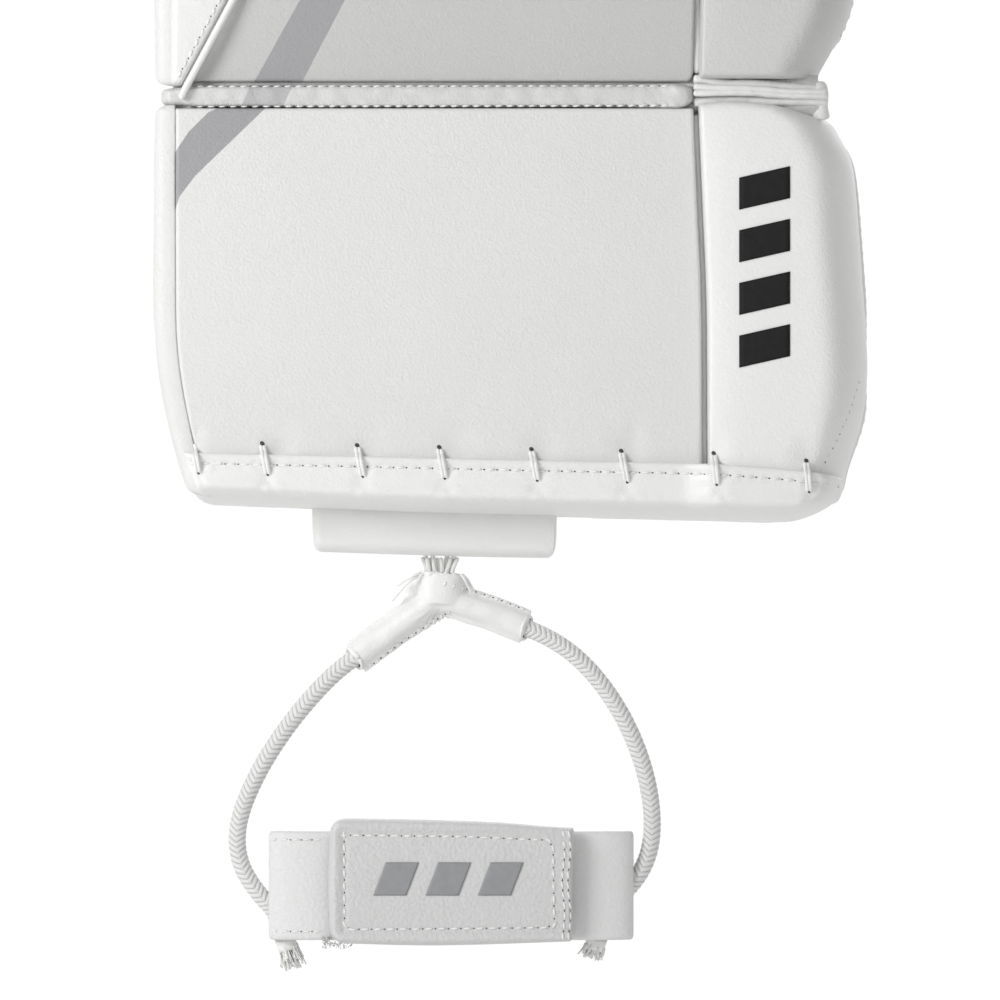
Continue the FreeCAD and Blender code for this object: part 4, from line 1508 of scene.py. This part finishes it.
@dataclass(frozen=True)
class ToeTie:
    """Lace, leather connector, elastic cord and closed strap that tie the pad to the skate's toe."""

    cord: float = 7.0
    rib: float = 2.2
    y: float = -17.0
    hub: Pair = (-28.0, -197.0)
    # Start and end of the lace's frayed tips.
    tips: tuple = (
        ((-36.0, -187.5), (-47.0, -198.0)), ((-35.0, -186.5), (-45.0, -192.0)),
        ((-20.0, -187.0), (-15.5, -195.0)),
    )

    def braid(self, angle: float, length: float) -> float:
        """Ribs of the braid: bundles that cross in a herringbone round the cord."""
        along = length / self.rib
        turns = (angle * self.cord / 2.0 * 2.0 / SHEATH.girth) % 2.0
        phase = (along + (1.0 - abs(turns - 1.0)) * 1.4) % 1.0
        return 0.55 * (sin(pi * phase) - 0.7)

    def cords(self) -> None:
        """Both legs of the cord with their cut ends."""
        for name, route, tail in (("inner", INNER_ROUTE, 10.5), ("outer", OUTER_ROUTE, 6.0)):
            line = nurbs_line(f"{name}_line", route)
            path = [point / MM for point in line]
            shape = tube(path, self.cord / 2.0, sides=20, relief=self.braid)
            piece = finished(f"{name}_bungee", shape, SHEATH)
            placed(piece, "toe_tie", "bungee", f"bungee_{name}")
            ends = self.tail(name, path, tail)

    def tail(self, name: str, path: Path, length: float) -> list[Piece]:
        """Cut end of a leg: a collar of frayed yarn round cut rubber strands."""
        draw = random.Random(11 if name == "inner" else 23)
        last = path[-1]
        way = (path[-1] - path[-6]).normalized()
        side = way.cross(Vector((0.0, 1.0, 0.0))).normalized()
        depth = Vector((0.0, 1.0, 0.0))

        def frayed(angle: float, run: float) -> float:
            """Ends of the bundles round the collar."""
            return 0.25 * sin(angle * 9.0) - 0.25 * (run / 5.0)

        collar = [last - way * 2.0, last, last + way * 1.8, last + way * 3.4]
        yarns = [tube(collar, 4.2, sides=18, relief=frayed)]
        for _ in range(70):
            angle = draw.uniform(0.0, 2.0 * pi)
            out = (side * cos(angle) + depth * sin(angle)) * draw.uniform(1.4, 4.0)
            start = last + way * 1.5 + out
            reach = length * draw.uniform(0.45, 0.95)
            bend = (side * draw.uniform(-1.0, 1.0) + depth * draw.uniform(-1.0, 1.0)) * 1.4
            points = [
                start + way * (reach * s / 4.0) + bend * (s / 4.0) ** 2 + out * 0.12 * (s / 4.0)
                for s in range(5)
            ]
            yarns.append(tube(points, draw.uniform(0.28, 0.46), sides=5))
        yarn = finished(f"{name}_bungee_fray", merged(yarns), LACE, levels=0)
        placed(yarn, "toe_tie", "bungee", f"bungee_{name}_end")
        rubber = []
        for _ in range(22):
            angle = draw.uniform(0.0, 2.0 * pi)
            out = (side * cos(angle) + depth * sin(angle)) * draw.uniform(0.0, 2.3)
            start = last + way * 1.0 + out
            rubber.append(tube([start, start + way * (length * draw.uniform(0.4, 0.72))], 0.5, sides=6))
        core = finished(f"{name}_bungee_core", merged(rubber), RUBBER, levels=0, sharp=60.0)
        placed(core, "toe_tie", "bungee")
        return [yarn, core]

    def connector(self, seams: Seamstress) -> None:
        """Leather sleeves folded over the cord, their edges stitched together as flanges."""
        hub = Vector((self.hub[0], self.y, self.hub[1]))
        mouths = {
            -1.0: Vector((-61.5, self.y, -220.3)), 1.0: Vector((6.0, self.y, -208.4)),
        }

        def slack(angle: float, run: float) -> float:
            """Loose fit of a sleeve over the cord."""
            return 0.3 * sin(angle * 2.0 + run / 7.0)

        sleeves = []
        flanges = []
        for side, mouth in mouths.items():
            middle = (hub + mouth) / 2.0 + Vector((0.0, 0.0, 2.0))
            path = [quadratic(hub, middle, mouth, step / 14.0) for step in range(15)]
            sleeves.append(tube(path, 5.0, sides=20, relief=slack))
            way = (mouth - hub).normalized()
            across = Vector((-way.z, 0.0, way.x))
            line = [quadratic(hub, middle, mouth, step / 10.0) + across * 5.4 for step in range(11)]
            flanges.append([point + across * 0.9 for point in line])
            sleeves.append(tube(line, 2.1, sides=12, flat=0.5))
            under = [
                quadratic(hub, middle, mouth, 0.15 + 0.85 * step / 10.0) - across * 5.2
                for step in range(11)
            ]
            sleeves.append(tube(under, 1.7, sides=12, flat=0.55))
        crotch = [hub + Vector((x, 0.0, z)) for x, z in ((-10.0, 8.0), (0.0, 10.6), (9.0, 9.6))]
        body = [hub + Vector((x, 0.0, z)) for x, z in ((1.0, 10.6), (0.5, 5.0), (0.0, -2.0))]
        sleeves.append(tube(evenly(body, 2.0), 9.6, sides=24, flat=0.72))
        for ends in (((-9.5, 8.0), (-13.5, -3.0)), ((9.5, 8.0), (13.5, 0.0))):
            ear = [hub + Vector((x, 1.5, z)) for x, z in ends]
            sleeves.append(tube(evenly(ear, 2.0), 2.2, sides=10, flat=0.5))
        piece = finished("tie_sleeves", merged(sleeves), TRIM_LEATHER, levels=0)
        remesh = piece.modifiers.new("Union", "REMESH")
        remesh.mode = "VOXEL"
        remesh.voxel_size = 0.55 * MM
        keep_evaluated(piece)
        self.settle(piece, hub)
        placed(piece, "toe_tie", "strap_leather", "tie_connector")
        skin = Skin([piece])
        for line in flanges:
            hits = [skin.front(point.x, point.z) for point in evenly(line, 3.4)]
            seams.sew([hit for hit in hits if hit], length=2.2, width=0.45, slant=60.0)
        seams.row(skin, crotch, pitch=3.0, length=2.4, width=0.45)
        for side, mouth in mouths.items():
            way = ((mouth - hub).normalized() + Vector((0.0, -0.35, 0.0))).normalized()
            place = Matrix.Translation(mouth) @ way.to_track_quat("Z", "Y").to_matrix().to_4x4()
            ring = []
            for step in range(25):
                turn = step / 12.0 * pi
                ring.append(place @ Vector((4.7 * cos(turn), 4.7 * sin(turn), 0.0)))
            which = "inner" if side < 0 else "outer"
            lip = finished(f"tie_rim_{which}", tube(ring, 0.75, sides=8, up=way), TRIM_LEATHER, levels=0)
            placed(lip, "toe_tie", "strap_leather")
            # A flat dark disc in each mouth: painted shade inside the open sleeve.
            dark = bmesh.new()
            bead(dark, place @ Matrix.Diagonal((1.0, 1.0, 0.1, 1.0)), 24, 6, radius=4.3)
            hole = finished(f"tie_mouth_{which}", dark, HOLE, levels=0, sharp=60.0)
            placed(hole, "toe_tie", "strap_leather")

    def settle(self, piece: Piece, hub: Vector) -> None:
        """Smooth the sleeves' union, then press pleats into the crotch."""
        shape = bmesh.new()
        shape.from_mesh(piece.data)
        axes = {"use_axis_x": True, "use_axis_y": True, "use_axis_z": True}
        for _ in range(9):
            bmesh.ops.smooth_vert(shape, verts=shape.verts[:], factor=0.5, **axes)
        shape.normal_update()
        for vert in shape.verts:
            place = vert.co / MM
            offset = place - (hub + Vector((-1.0, 0.0, -3.0)))
            reach = hypot(offset.x, offset.z)
            fan = atan2(offset.z, offset.x)
            below = ease((-offset.z - 1.0) / 3.0)
            pleat = 0.35 * sin(fan * 21.0) * bump(reach - 5.0, 4.0) * below
            crease = 0.35 * noise.noise(place / 7.0)
            vert.co += vert.normal * (pleat + crease) * MM
        shape.to_mesh(piece.data)
        shape.free()
        for polygon in piece.data.polygons:
            polygon.use_smooth = True

    def lace(self) -> None:
        """Strands that hold the connector, with their frayed tips beside it."""
        strands = []
        x, z = self.hub[0], -184.0
        for index in range(10):
            offset = (index - 4.5) * 1.6
            path = []
            for s in range(6):
                across = x + offset * (1.0 - 0.1 * s) + 0.4 * sin(s + index)
                path.append(Vector((across, self.y - 1.6 * (index % 2), z + 3.6 - 2.0 * s)))
            strands.append(tube(path, 1.0, sides=7))
        for start, goal in self.tips:
            path = []
            for s in range(6):
                fall = mix(start[1], goal[1], (s / 5.0) ** 1.4)
                across = mix(start[0], goal[0], s / 5.0)
                path.append(Vector((across, self.y - 5.0 - 1.5 * sin(s), fall)))
            strands.append(tube(path, 0.6, sides=6))
        piece = finished("tie_lace_strands", merged(strands), LACE)
        placed(piece, "toe_tie", "lace", "tie_lace")

    def strap(self, seams: Seamstress) -> None:
        """Closed leather strap: a flat loop with rounded ends."""
        left, right, half_loop, wall = -97.0, 50.0, 13.0, 1.75
        steps, rows = 96, 14
        path = []
        for step in range(steps + 1):
            turn = step / steps * 2.0 * pi
            squeeze = abs(cos(turn)) ** 0.25 * copysign(1.0, cos(turn))
            x = mix(left, right, (squeeze + 1.0) / 2.0)
            bow = copysign(abs(sin(turn)) ** 0.8, sin(turn))
            y = self.y - (half_loop - wall) * bow
            path.append(Vector((clamp(x, left + wall, right - wall), y, 0.0)))
        shape = bmesh.new()
        bmesh.ops.create_grid(shape, x_segments=steps, y_segments=rows, size=1.0)
        low, high = -331.0, -288.0
        for vert in shape.verts:
            point = path[round(share_of(vert.co.x) * steps)]
            share = share_of(vert.co.y)
            front = point.y < self.y
            drop, lift = (0.0, 0.0) if front else (-1.8, 0.6)
            bulge = 0.4 * sin(share * pi)
            vert.co = Vector((point.x, point.y + bulge, mix(low + lift, high + drop, share)))
        bmesh.ops.remove_doubles(shape, verts=shape.verts[:], dist=0.05)
        bmesh.ops.recalc_face_normals(shape, faces=shape.faces[:])
        bmesh.ops.solidify(shape, geom=shape.faces[:], thickness=2.6)
        piece = finished("skate_strap", shape, SOFT_STRAP_LEATHER)
        placed(piece, "toe_tie", "strap_leather", "toe_strap")
        skin = Skin([piece])
        for height in (-291.5, -327.5):
            seams.row(skin, flat_path((-93.0, height), (-76.0, height)), pitch=4.0, length=2.8, width=0.4)

    def tab(self, seams: Seamstress) -> None:
        """Hook-and-loop tab over the strap's front, padded at its rim."""

        def relief(x: float, z: float) -> float:
            """Raised rim, a sunk stitched line and a faint quilting."""
            gap = min(x + 72.0, z + 333.0, -282.4 - z)
            rim = 0.9 * bump(gap - 2.6, 2.6) - 0.5 * bump(gap - 6.6, 1.0)
            return rim + 0.3 * uneven(x, z, 16.0, 12.0, 9.0)

        panel = Panel(
            left=((-333.0, -71.0), (-310.0, -72.0), (-282.0, -71.0)),
            right=((-333.0, 24.0), (-282.0, 25.0)),
            low=((-72.0, -332.0), (-30.0, -333.0), (25.0, -331.4)),
            high=((-72.0, -282.6), (-40.0, -283.0), (-5.0, -284.2), (12.0, -285.6), (25.0, -286.4)),
            back=31.8, front=36.6, crown=0.4, soft=(3.5, 2.0, 3.5, 3.5),
            corners=(6.0, 1.0, 6.0, 1.0), cells=(90, 50), crowding=0.3,
        )
        piece = finished("strap_tab", panel.form(relief), STRAP_LEATHER)
        placed(piece, "toe_tab", "strap_leather", "toe_strap_tab")
        skin = Skin([piece])
        upper = ((-65.4, -289.4), (-20.0, -289.9), (16.5, -291.4))
        loop = flat_path(*upper, (17.0, -325.6), (-65.2, -326.4), upper[0])
        seams.row(skin, loop, pitch=5.0, length=3.4, width=0.5, slant=4.0)
        for offset in (20.6, 22.8):
            wavy = [Vector((offset + 0.5 * sin(z / 4.0), 0.0, float(z))) for z in range(-329, -287, 2)]
            seams.row(skin, wavy, pitch=4.0, length=3.2, width=0.45)
        marks = [
            print_on(skin, ((x, -313.0), (x + 13.0, -313.0), (x + 18.0, -300.0), (x + 5.0, -300.0)))
            for x in (-54.0, -33.5, -13.0)
        ]
        print_piece = finished("tab_bars", merged(marks), INK_GREY, levels=0)
        placed(print_piece, "toe_tab", "strap_leather")
        draw = random.Random(3)
        fuzz = []
        for _ in range(170):
            x, z = draw.uniform(-74.0, -62.0), draw.uniform(-333.6, -329.0)
            start = Vector((x, -31.6, z))
            lean = Vector((draw.uniform(-0.6, 0.6), draw.uniform(-0.9, 0.1), draw.uniform(-0.7, 0.7)))
            tip = start + lean * 1.5 + Vector((0.3, 0.4, 0.2))
            fuzz.append(tube([start, start + lean, tip], 0.12, sides=4))
        piece = finished("tab_hook_pile", merged(fuzz), PILE, levels=0)
        placed(piece, "toe_tab", "hook_and_loop")

    def build(self) -> None:
        """Every piece of the toe tie."""
        seams = Seamstress("toe_tie")
        self.cords()
        self.connector(seams)
        self.lace()
        self.strap(seams)
        seams.done()
        tab_seams = Seamstress("toe_tab")
        self.tab(tab_seams)
        tab_seams.done()


def quadratic(a: Vector, b: Vector, c: Vector, share: float) -> Vector:
    """Point of the curve that leaves a towards b and arrives at c."""
    return a.lerp(b, share).lerp(b.lerp(c, share), share)


def print_on(
    skin: Skin, corners: Sequence[Pair], lift: float = 0.3, cells: int = 14
) -> Shape:
    """A thin printed four-sided mark laid on a surface.

    Args:
        skin: Surface that takes it.
        corners: Its corners in the front view, going round.
        lift: How far it stands off the surface.
        cells: Grid cells along each side.

    Returns:
        The mark, two sides thick.
    """
    shape = bmesh.new()
    bmesh.ops.create_grid(shape, x_segments=cells, y_segments=cells, size=1.0)
    a, b, c, d = (Vector((x, 0.0, z)) for x, z in corners)
    for vert in shape.verts:
        share, rise = share_of(vert.co.x), share_of(vert.co.y)
        goal = a.lerp(b, share).lerp(d.lerp(c, share), rise)
        hit = skin.front(goal.x, goal.z)
        vert.co = hit[0] - Vector((0.0, lift, 0.0)) if hit else goal
    shape.normal_update()
    bmesh.ops.solidify(shape, geom=shape.faces[:], thickness=0.1)
    return shape


# ---------------- back of the pad


@dataclass(frozen=True)
class LegChannel:
    """Walls, cushions, wings and straps that hold the leg."""

    # Section of a wing, across and back.
    wing_line: tuple[Pair, ...] = (
        (74.0, 6.0), (74.0, 40.0), (74.0, 76.0), (69.0, 92.0), (58.0, 105.0), (44.0, 107.0),
        (20.0, 107.0),
    )
    # Each wall's part, body, limits across, depth, lower and upper end, and how far its cover swells.
    walls: tuple = (
        ("calf_inner_wall", "shin", (-140.0, -98.0), 111.0, (30.0, 254.0), 6.0),
        ("knee_inner_wall", "knee", (-140.0, -98.0), 111.0, (326.0, 450.0), 6.0),
        ("boot_inner_wall", "boot", (-126.0, -92.0), 34.0, (-140.0, -22.0), 5.0),
        ("boot_outer_wall", "boot", (82.0, 116.0), 34.0, (-140.0, -22.0), 5.0),
    )

    def wall(
        self, node: str, body: str, x: Pair, depth: float, z: Pair, cap: float
    ) -> Piece:
        """A leather wall stuffed with foam, standing up from the back.

        Args:
            node: Solid part it stands for.
            body: Body it rides on.
            x: Inner and outer limit.
            depth: How far it stands up.
            z: Lower and upper end.
            cap: How far its cover may swell.

        Returns:
            The wall.
        """
        slack = cap * 0.6
        panel = Panel(
            left=level(-x[1] + slack), right=level(-x[0] - slack), low=level(z[0] + slack),
            high=level(z[1] - slack), back=0.4, front=depth - slack, crown=1.0,
            soft=(9.0,) * 4, corners=(6.0,) * 4, cells=(26, 60), fullness=3.2,
        )
        piece = finished(f"{node}_cover", panel.form(facing=Facing.BACK), COVER_LEATHER, levels=0)
        swell(piece, cap)
        self.flatten(piece, depth)
        smooth_out(piece)
        return placed(piece, body, "cover_leather", node)

    @staticmethod
    def flatten(piece: Piece, depth: float) -> None:
        """Keep a swollen piece off the pad's back and out of its neighbours behind."""
        for vert in piece.data.vertices:
            vert.co.y = clamp(vert.co.y, 0.5 * MM, depth * MM)

    def cushion(self, node: str, body: str, thick: float, z: Pair) -> Piece:
        """A lined cushion across the channel, quilted by two cross seams."""
        panel = Panel(
            left=level(-61.0), right=level(93.0), low=level(z[0] + 1.0), high=level(z[1] - 1.0),
            back=0.4, front=thick - 1.5, crown=1.0, soft=(8.0,) * 4,
            corners=(12.0,) * 4, cells=(50, 60),
        )
        piece = finished(f"{node}_cushion", panel.form(facing=Facing.BACK), LINING, levels=0)
        swell(piece, 5.0)
        heights = [mix(z[0], z[1], share) for share in (0.33, 0.67)]
        for vert in piece.data.vertices:
            place = vert.co / MM
            channel = sum(bump(place.z - height, 2.6) for height in heights)
            if place.y > 1.0:
                place.y = max(place.y - channel * thick * 0.4, 0.8)
            vert.co = place * MM
        self.flatten(piece, thick + 3.0)
        smooth_out(piece)
        return placed(piece, body, "lining_fabric", node)

    def wing(self, node: str, z: Pair) -> Piece:
        """A flap that bends round the leg, leather outside and foam within."""
        path = evenly([Vector((x, y, 0.0)) for x, y in self.wing_line], 4.0)
        shape = bmesh.new()
        count = len(path) - 1
        bmesh.ops.create_grid(shape, x_segments=count, y_segments=50, size=1.0)
        for vert in shape.verts:
            index = round(share_of(vert.co.x) * count)
            up = vert.co.y
            end = clamp((index / count - 0.8) / 0.2)
            height = mix(z[0], z[1], (up * (1.0 - 0.12 * end**2) + 1.0) / 2.0)
            vert.co = Vector((path[index].x, path[index].y, height))
        shape.normal_update()
        bmesh.ops.solidify(shape, geom=shape.faces[:], thickness=8.0)
        piece = finished(f"{node}_cover", shape, COVER_LEATHER, levels=0)
        swell(piece, 3.0, voxel=4.5)
        smooth_out(piece)
        return placed(piece, node, "cover_leather", node)

    @staticmethod
    def strap(height: float) -> Shape:
        """One webbing strap with a turned end."""
        path = [Vector((x, 114.4 + 0.5 * sin(x / 14.0), height)) for x in range(-134, 61, 3)]
        return tube(path, 18.6, sides=24, up=Vector((0.0, 1.0, 0.0)), flat=0.075)

    def build(self, seams: dict[str, Seamstress]) -> None:
        """Everything behind the pad.

        Args:
            seams: Stitches, by body.
        """
        stood = [self.wall(*sizes) for sizes in self.walls]
        for piece, (_, body, limits, _, (low, high), _) in zip(stood, self.walls):
            skin = Skin([piece])
            middle = (limits[0] + limits[1]) / 2.0
            for side in (-10.0, 10.0):
                line = flat_path((middle + side, low + 9.0), (middle + side, high - 9.0))
                seams[body].row(skin, line, behind=True)
        self.cushion("calf_liner", "shin", 9.0, (38.0, 246.0))
        self.cushion("knee_cradle", "knee", 22.0, (330.0, 446.0))
        calf = self.wing("calf_wing", (38.0, 254.0))
        knee = self.wing("knee_wing", (326.0, 450.0))
        for body, piece, low, high in (("calf_wing", calf, 44.0, 248.0), ("knee_wing", knee, 332.0, 444.0)):
            skin = Skin([piece])
            for x in (26.0, 64.0):
                seams[body].row(skin, flat_path((x, low), (x, high)), behind=True)
        self.fastenings(seams)

    def fastenings(self, seams: dict[str, Seamstress]) -> None:
        """Straps, their rivets and the loop patches under their ends."""
        groups = (
            ("calf", (92.0, 206.0), "shin", "calf_wing", "calf_straps", "calf_wall_patches", "calf_rivets"),
            ("knee", (388.0,), "knee", "knee_wing", "knee_strap", "knee_wall_patch", "knee_rivets"),
        )
        for name, heights, wall_body, wing_body, straps, patches, rivets in groups:
            piece = finished(f"{name}_webbing", merged([self.strap(z) for z in heights]), WEBBING)
            placed(piece, wing_body, "webbing", straps)
            skin = Skin([piece])
            for z in heights:
                low, high = z - 14.0, z + 14.0
                box = flat_path((42.0, low), (57.0, low), (57.0, high), (42.0, high), (42.0, low))
                seams[wing_body].row(skin, box, pitch=3.4, behind=True, length=2.6, width=0.4)
            pads = []
            heads = []
            for z in heights:
                pads.append(
                    Panel(
                        left=level(108.0), right=level(130.0), low=level(z - 17.0),
                        high=level(z + 17.0), back=111.0, front=112.8, crown=0.1,
                        soft=(0.8,) * 4, corners=(3.0,) * 4, cells=(14, 18),
                    ).form(facing=Facing.BACK)
                )
                for offset in (-9.0, 9.0):
                    heads.append(rivet(Vector((50.0, 115.9, z + offset))))
            patch = finished(f"{name}_loop_patch", merged(pads), PILE, levels=0, sharp=60.0)
            placed(patch, wall_body, "hook_and_loop", patches)
            metal = finished(f"{name}_rivet_heads", merged(heads), NICKEL, levels=0, sharp=40.0)
            placed(metal, wing_body, "rivet_metal", rivets)


def rivet(base: Vector, radius: float = 4.5, height: float = 1.7) -> Shape:
    """A domed rivet head with a dimple, spun round its axis.

    Args:
        base: Middle of its underside.
        radius: Its radius.
        height: Its height.

    Returns:
        The head, looking back along +Y.
    """
    shape = bmesh.new()
    dimple = ((0.0, 0.62), (0.22, 0.66), (0.36, 0.94), (0.55, 1.0))
    dome = ((0.8, 0.72), (0.96, 0.34), (1.0, 0.0), (0.0, 0.0))
    verts = [shape.verts.new(base + Vector((r * radius, h * height, 0.0))) for r, h in dimple + dome]
    for before, after in zip(verts, verts[1:]):
        shape.edges.new((before, after))
    bmesh.ops.spin(
        shape, geom=shape.verts[:] + shape.edges[:], cent=base, axis=(0.0, 1.0, 0.0),
        angle=2.0 * pi, steps=24, use_merge=True,
    )
    bmesh.ops.remove_doubles(shape, verts=shape.verts[:], dist=0.01)
    return shape


# ---------------- whole pad


@dataclass(frozen=True)
class TopBinding:
    """Leather folded over the thigh rise's top edge."""

    low: float = 687.0
    high: float = 707.0

    def build(self, seams: Seamstress) -> None:
        """Binding with its row of stitches."""
        panel = Panel(
            left=level(-141.5), right=level(141.5), low=level(self.low), high=level(self.high),
            back=-2.0, front=62.4, crown=0.3, soft=(7.0, 14.0, 0.0, 9.0),
            corners=(0.0, 0.0, 8.0, 10.0), cells=(120, 16), crowding=0.3,
        )
        shape = panel.form(
            lambda x, z: 5.8 * ease((x - 66.0) / 16.0) - 5.0 * ease((x - 118.0) / 20.0)
        )
        piece = finished("thigh_binding_cover", shape, TRIM_LEATHER)
        placed(piece, "thigh", "cover_leather", "thigh_top_binding")
        skin = Skin([piece])
        line = flat_path((-134.0, self.low + 4.0), (134.0, self.low + 4.0))
        for behind in (False, True):
            seams.row(skin, line, behind=behind, pitch=5.0, length=3.6)


@dataclass
class LegPad:
    """The whole pad."""

    sections: tuple[Section, ...] = (
        Section("boot", -164.0, -4.0, BOOT_LEATHER, toe=True),
        # The shin's face is given the darker copy of the white leather: painted shade.
        Section("shin", 4.0, 286.0, SHADED_SHIN_LEATHER), Section("knee", 294.0, 466.0, COVER_LEATHER),
        Section("thigh", 474.0, 705.0, COVER_LEATHER, top=True),
    )
    breaks: tuple[Break, ...] = (
        Break("boot_break", 0.0, "boot", "shin", "shin", "boot_break_band"),
        Break("lower_knee", 290.0, "shin", "knee", "shin", "lower_knee_break_band"),
        Break("upper_knee", 470.0, "knee", "thigh", "knee", "upper_knee_break_band"),
    )

    # Lower and upper end of each section's side seams.
    seam_ends: dict[str, Pair] = field(
        default_factory=lambda: {
            "boot": (-136.0, -14.0), "shin": (14.0, 276.0), "knee": (304.0, 456.0),
            "thigh": (484.0, 684.0),
        }
    )

    def build(self) -> None:
        """Build every sub-assembly in order."""
        bodies = ("shin", "boot", "knee", "thigh", "calf_wing", "knee_wing")
        seams = {body: Seamstress(body) for body in bodies}
        covers = {section.name: section.build() for section in self.sections}
        for item in self.breaks:
            band = item.build()[0]
            self.rows(item, covers, band, seams)
        SidePanel().build(seams["shin"])
        ToeEnd().build(covers["boot"][:2], seams["boot"])
        self.boot_details(covers["boot"], seams["boot"])
        self.side_seams(covers, seams)
        TopBinding().build(seams["thigh"])
        ToeTie().build()
        LegChannel().build(seams)
        for worker in seams.values():
            worker.done()

    @staticmethod
    def rows(item: Break, covers: dict, band: Piece, seams: dict[str, Seamstress]) -> None:
        """Sew the row above and the row below a break's band."""
        skin = Skin([band])
        for body, offset in ((item.above, 3.5), (item.below, -4.1)):
            line = flat_path((-130.0, item.z + offset - 0.3), (60.0, item.z + offset))
            seams[body].row(skin, line, length=3.1, width=0.5, slant=14.0)

    def boot_details(self, covers: Sequence[Piece], seams: Seamstress) -> None:
        """Side seam of the toe and the printed bars on the roll."""
        skin = Skin([covers[1]])
        seam = flat_path((136.0, -112.0), (132.0, -124.0), (127.0, -135.0), (121.0, -146.0))
        seams.row(skin, seam, pitch=6.0, length=1.6, width=0.35)
        bars = []
        for index in range(4):
            top = -28.0 - index * 20.5
            left, right = 88.8, 108.6
            corners = ((left, top - 17.0), (right, top - 12.5), (right, top), (left, top - 4.5))
            bars.append(print_on(skin, corners, cells=10))
        piece = finished("roll_bars", merged(bars), INK_BLACK, levels=0)
        placed(piece, "boot", "cover_leather")

    def side_seams(self, covers: dict, seams: dict[str, Seamstress]) -> None:
        """Rows down both sides of every section."""
        for body, pieces in covers.items():
            low, high = self.seam_ends[body]
            sides = ((1.0, -7.0, pieces[2:3]), (-1.0, -9.0, [pieces[1], pieces[3]]))
            for direction, depth, parts in sides:
                skin = Skin(parts)
                hits = []
                for point in evenly(flat_path((0.0, low), (0.0, high)), 4.6):
                    start = Vector((-200.0 * direction, depth, point.z))
                    hit = skin.hit(start, Vector((direction, 0.0, 0.0)))
                    if hit is not None:
                        hits.append(hit)
                seams[body].sew(hits, length=3.2, width=0.5)


@dataclass(frozen=True)
class Studio:
    """Pale floor, soft light and the camera."""

    floor_level: float = -420.0
    look_at: Pair = (-4.3, -158.0)
    field: float = 390.0
    lens: float = 400.0
    sensor: float = 36.0
    front: float = -58.0

    def build(self) -> None:
        """Set the stage."""
        shape = bmesh.new()
        bmesh.ops.create_circle(shape, cap_ends=True, segments=96, radius=1400.0)
        down = Matrix.Translation((0.0, 0.0, self.floor_level))
        bmesh.ops.transform(shape, matrix=down, verts=shape.verts[:])
        floor = finished("floor", shape, PAPER, levels=0, sharp=50.0)
        scene = bpy.context.scene
        scene.view_settings.view_transform = "Standard"
        self.sky(scene)
        self.lamp("key", (-1000.0, -950.0, 300.0), 560.0, 12.5)
        self.lamp("fill", (700.0, -1700.0, 100.0), 1400.0, 3.5)
        self.lamp("rear", (200.0, 1500.0, 700.0), 1400.0, 9.0)
        self.camera(scene)

    @staticmethod
    def sky(scene: bpy.types.Scene) -> None:
        """White wall behind the pad, dimmer room in front of it."""
        world = bpy.data.worlds.new("studio")
        scene.world = world
        world.use_nodes = True
        tree = world.node_tree
        tree.nodes.clear()
        way = add_node(tree, "ShaderNodeTexCoord").outputs["Generated"]
        split = add_node(tree, SPLIT, {0: way})
        limits = {"From Min": -0.2, "From Max": 0.92, "To Min": 0.38, "To Max": 1.03}
        strength = add_node(
            tree, RANGE, {"Value": split.outputs["Y"], **limits}, interpolation_type="SMOOTHSTEP"
        )
        white = (1.0, 1.0, 1.0, 1.0)
        background = add_node(tree, "ShaderNodeBackground", {"Color": white, "Strength": strength})
        add_node(tree, "ShaderNodeOutputWorld", {"Surface": background})

    @staticmethod
    def lamp(name: str, place: tuple[float, float, float], size: float, power: float) -> None:
        """A square soft box aimed at the pad.

        Args:
            name: Its name.
            place: Where it stands.
            size: Its side.
            power: Its power in watts.
        """
        light = bpy.data.lights.new(name, "AREA")
        light.size = size * MM
        light.energy = power
        lamp = bpy.data.objects.new(name, light)
        bpy.context.scene.collection.objects.link(lamp)
        start = Vector(place) * MM
        lamp.location = start
        lamp.rotation_mode = "QUATERNION"
        lamp.rotation_quaternion = (Vector((0.0, 0.0, -0.05)) - start).to_track_quat("-Z", "Y")

    def camera(self, scene: bpy.types.Scene) -> None:
        """Long lens, square to the front."""
        data = bpy.data.cameras.new("camera")
        data.lens = self.lens
        data.sensor_width = self.sensor
        data.clip_end = 100.0
        camera = bpy.data.objects.new("camera", data)
        scene.collection.objects.link(camera)
        distance = self.field * self.lens / self.sensor
        camera.location = Vector((self.look_at[0], self.front - distance, self.look_at[1])) * MM
        camera.rotation_euler = (pi / 2.0, 0.0, 0.0)
        scene.camera = camera


def dress_nodes(frame: dict) -> None:
    """Give the solid parts that stay inside the pad their own finishes."""
    finishes = {"foam": FOAM, "core": FOAM, "stiffener": SHEET_PLASTIC, "hooks": PILE}
    for name, node in frame["nodes"].items():
        ending = name.rsplit("_", 1)[-1]
        if ending in finishes:
            node.data.materials.clear()
            node.data.materials.append(finishes[ending].made())


def main() -> None:
    """Build the pad and its stage."""
    logging.basicConfig(level=logging.INFO, format="%(message)s")
    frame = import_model()
    dress_nodes(frame)
    LegPad().build()
    Studio().build()


if __name__ == "__main__":
    main()
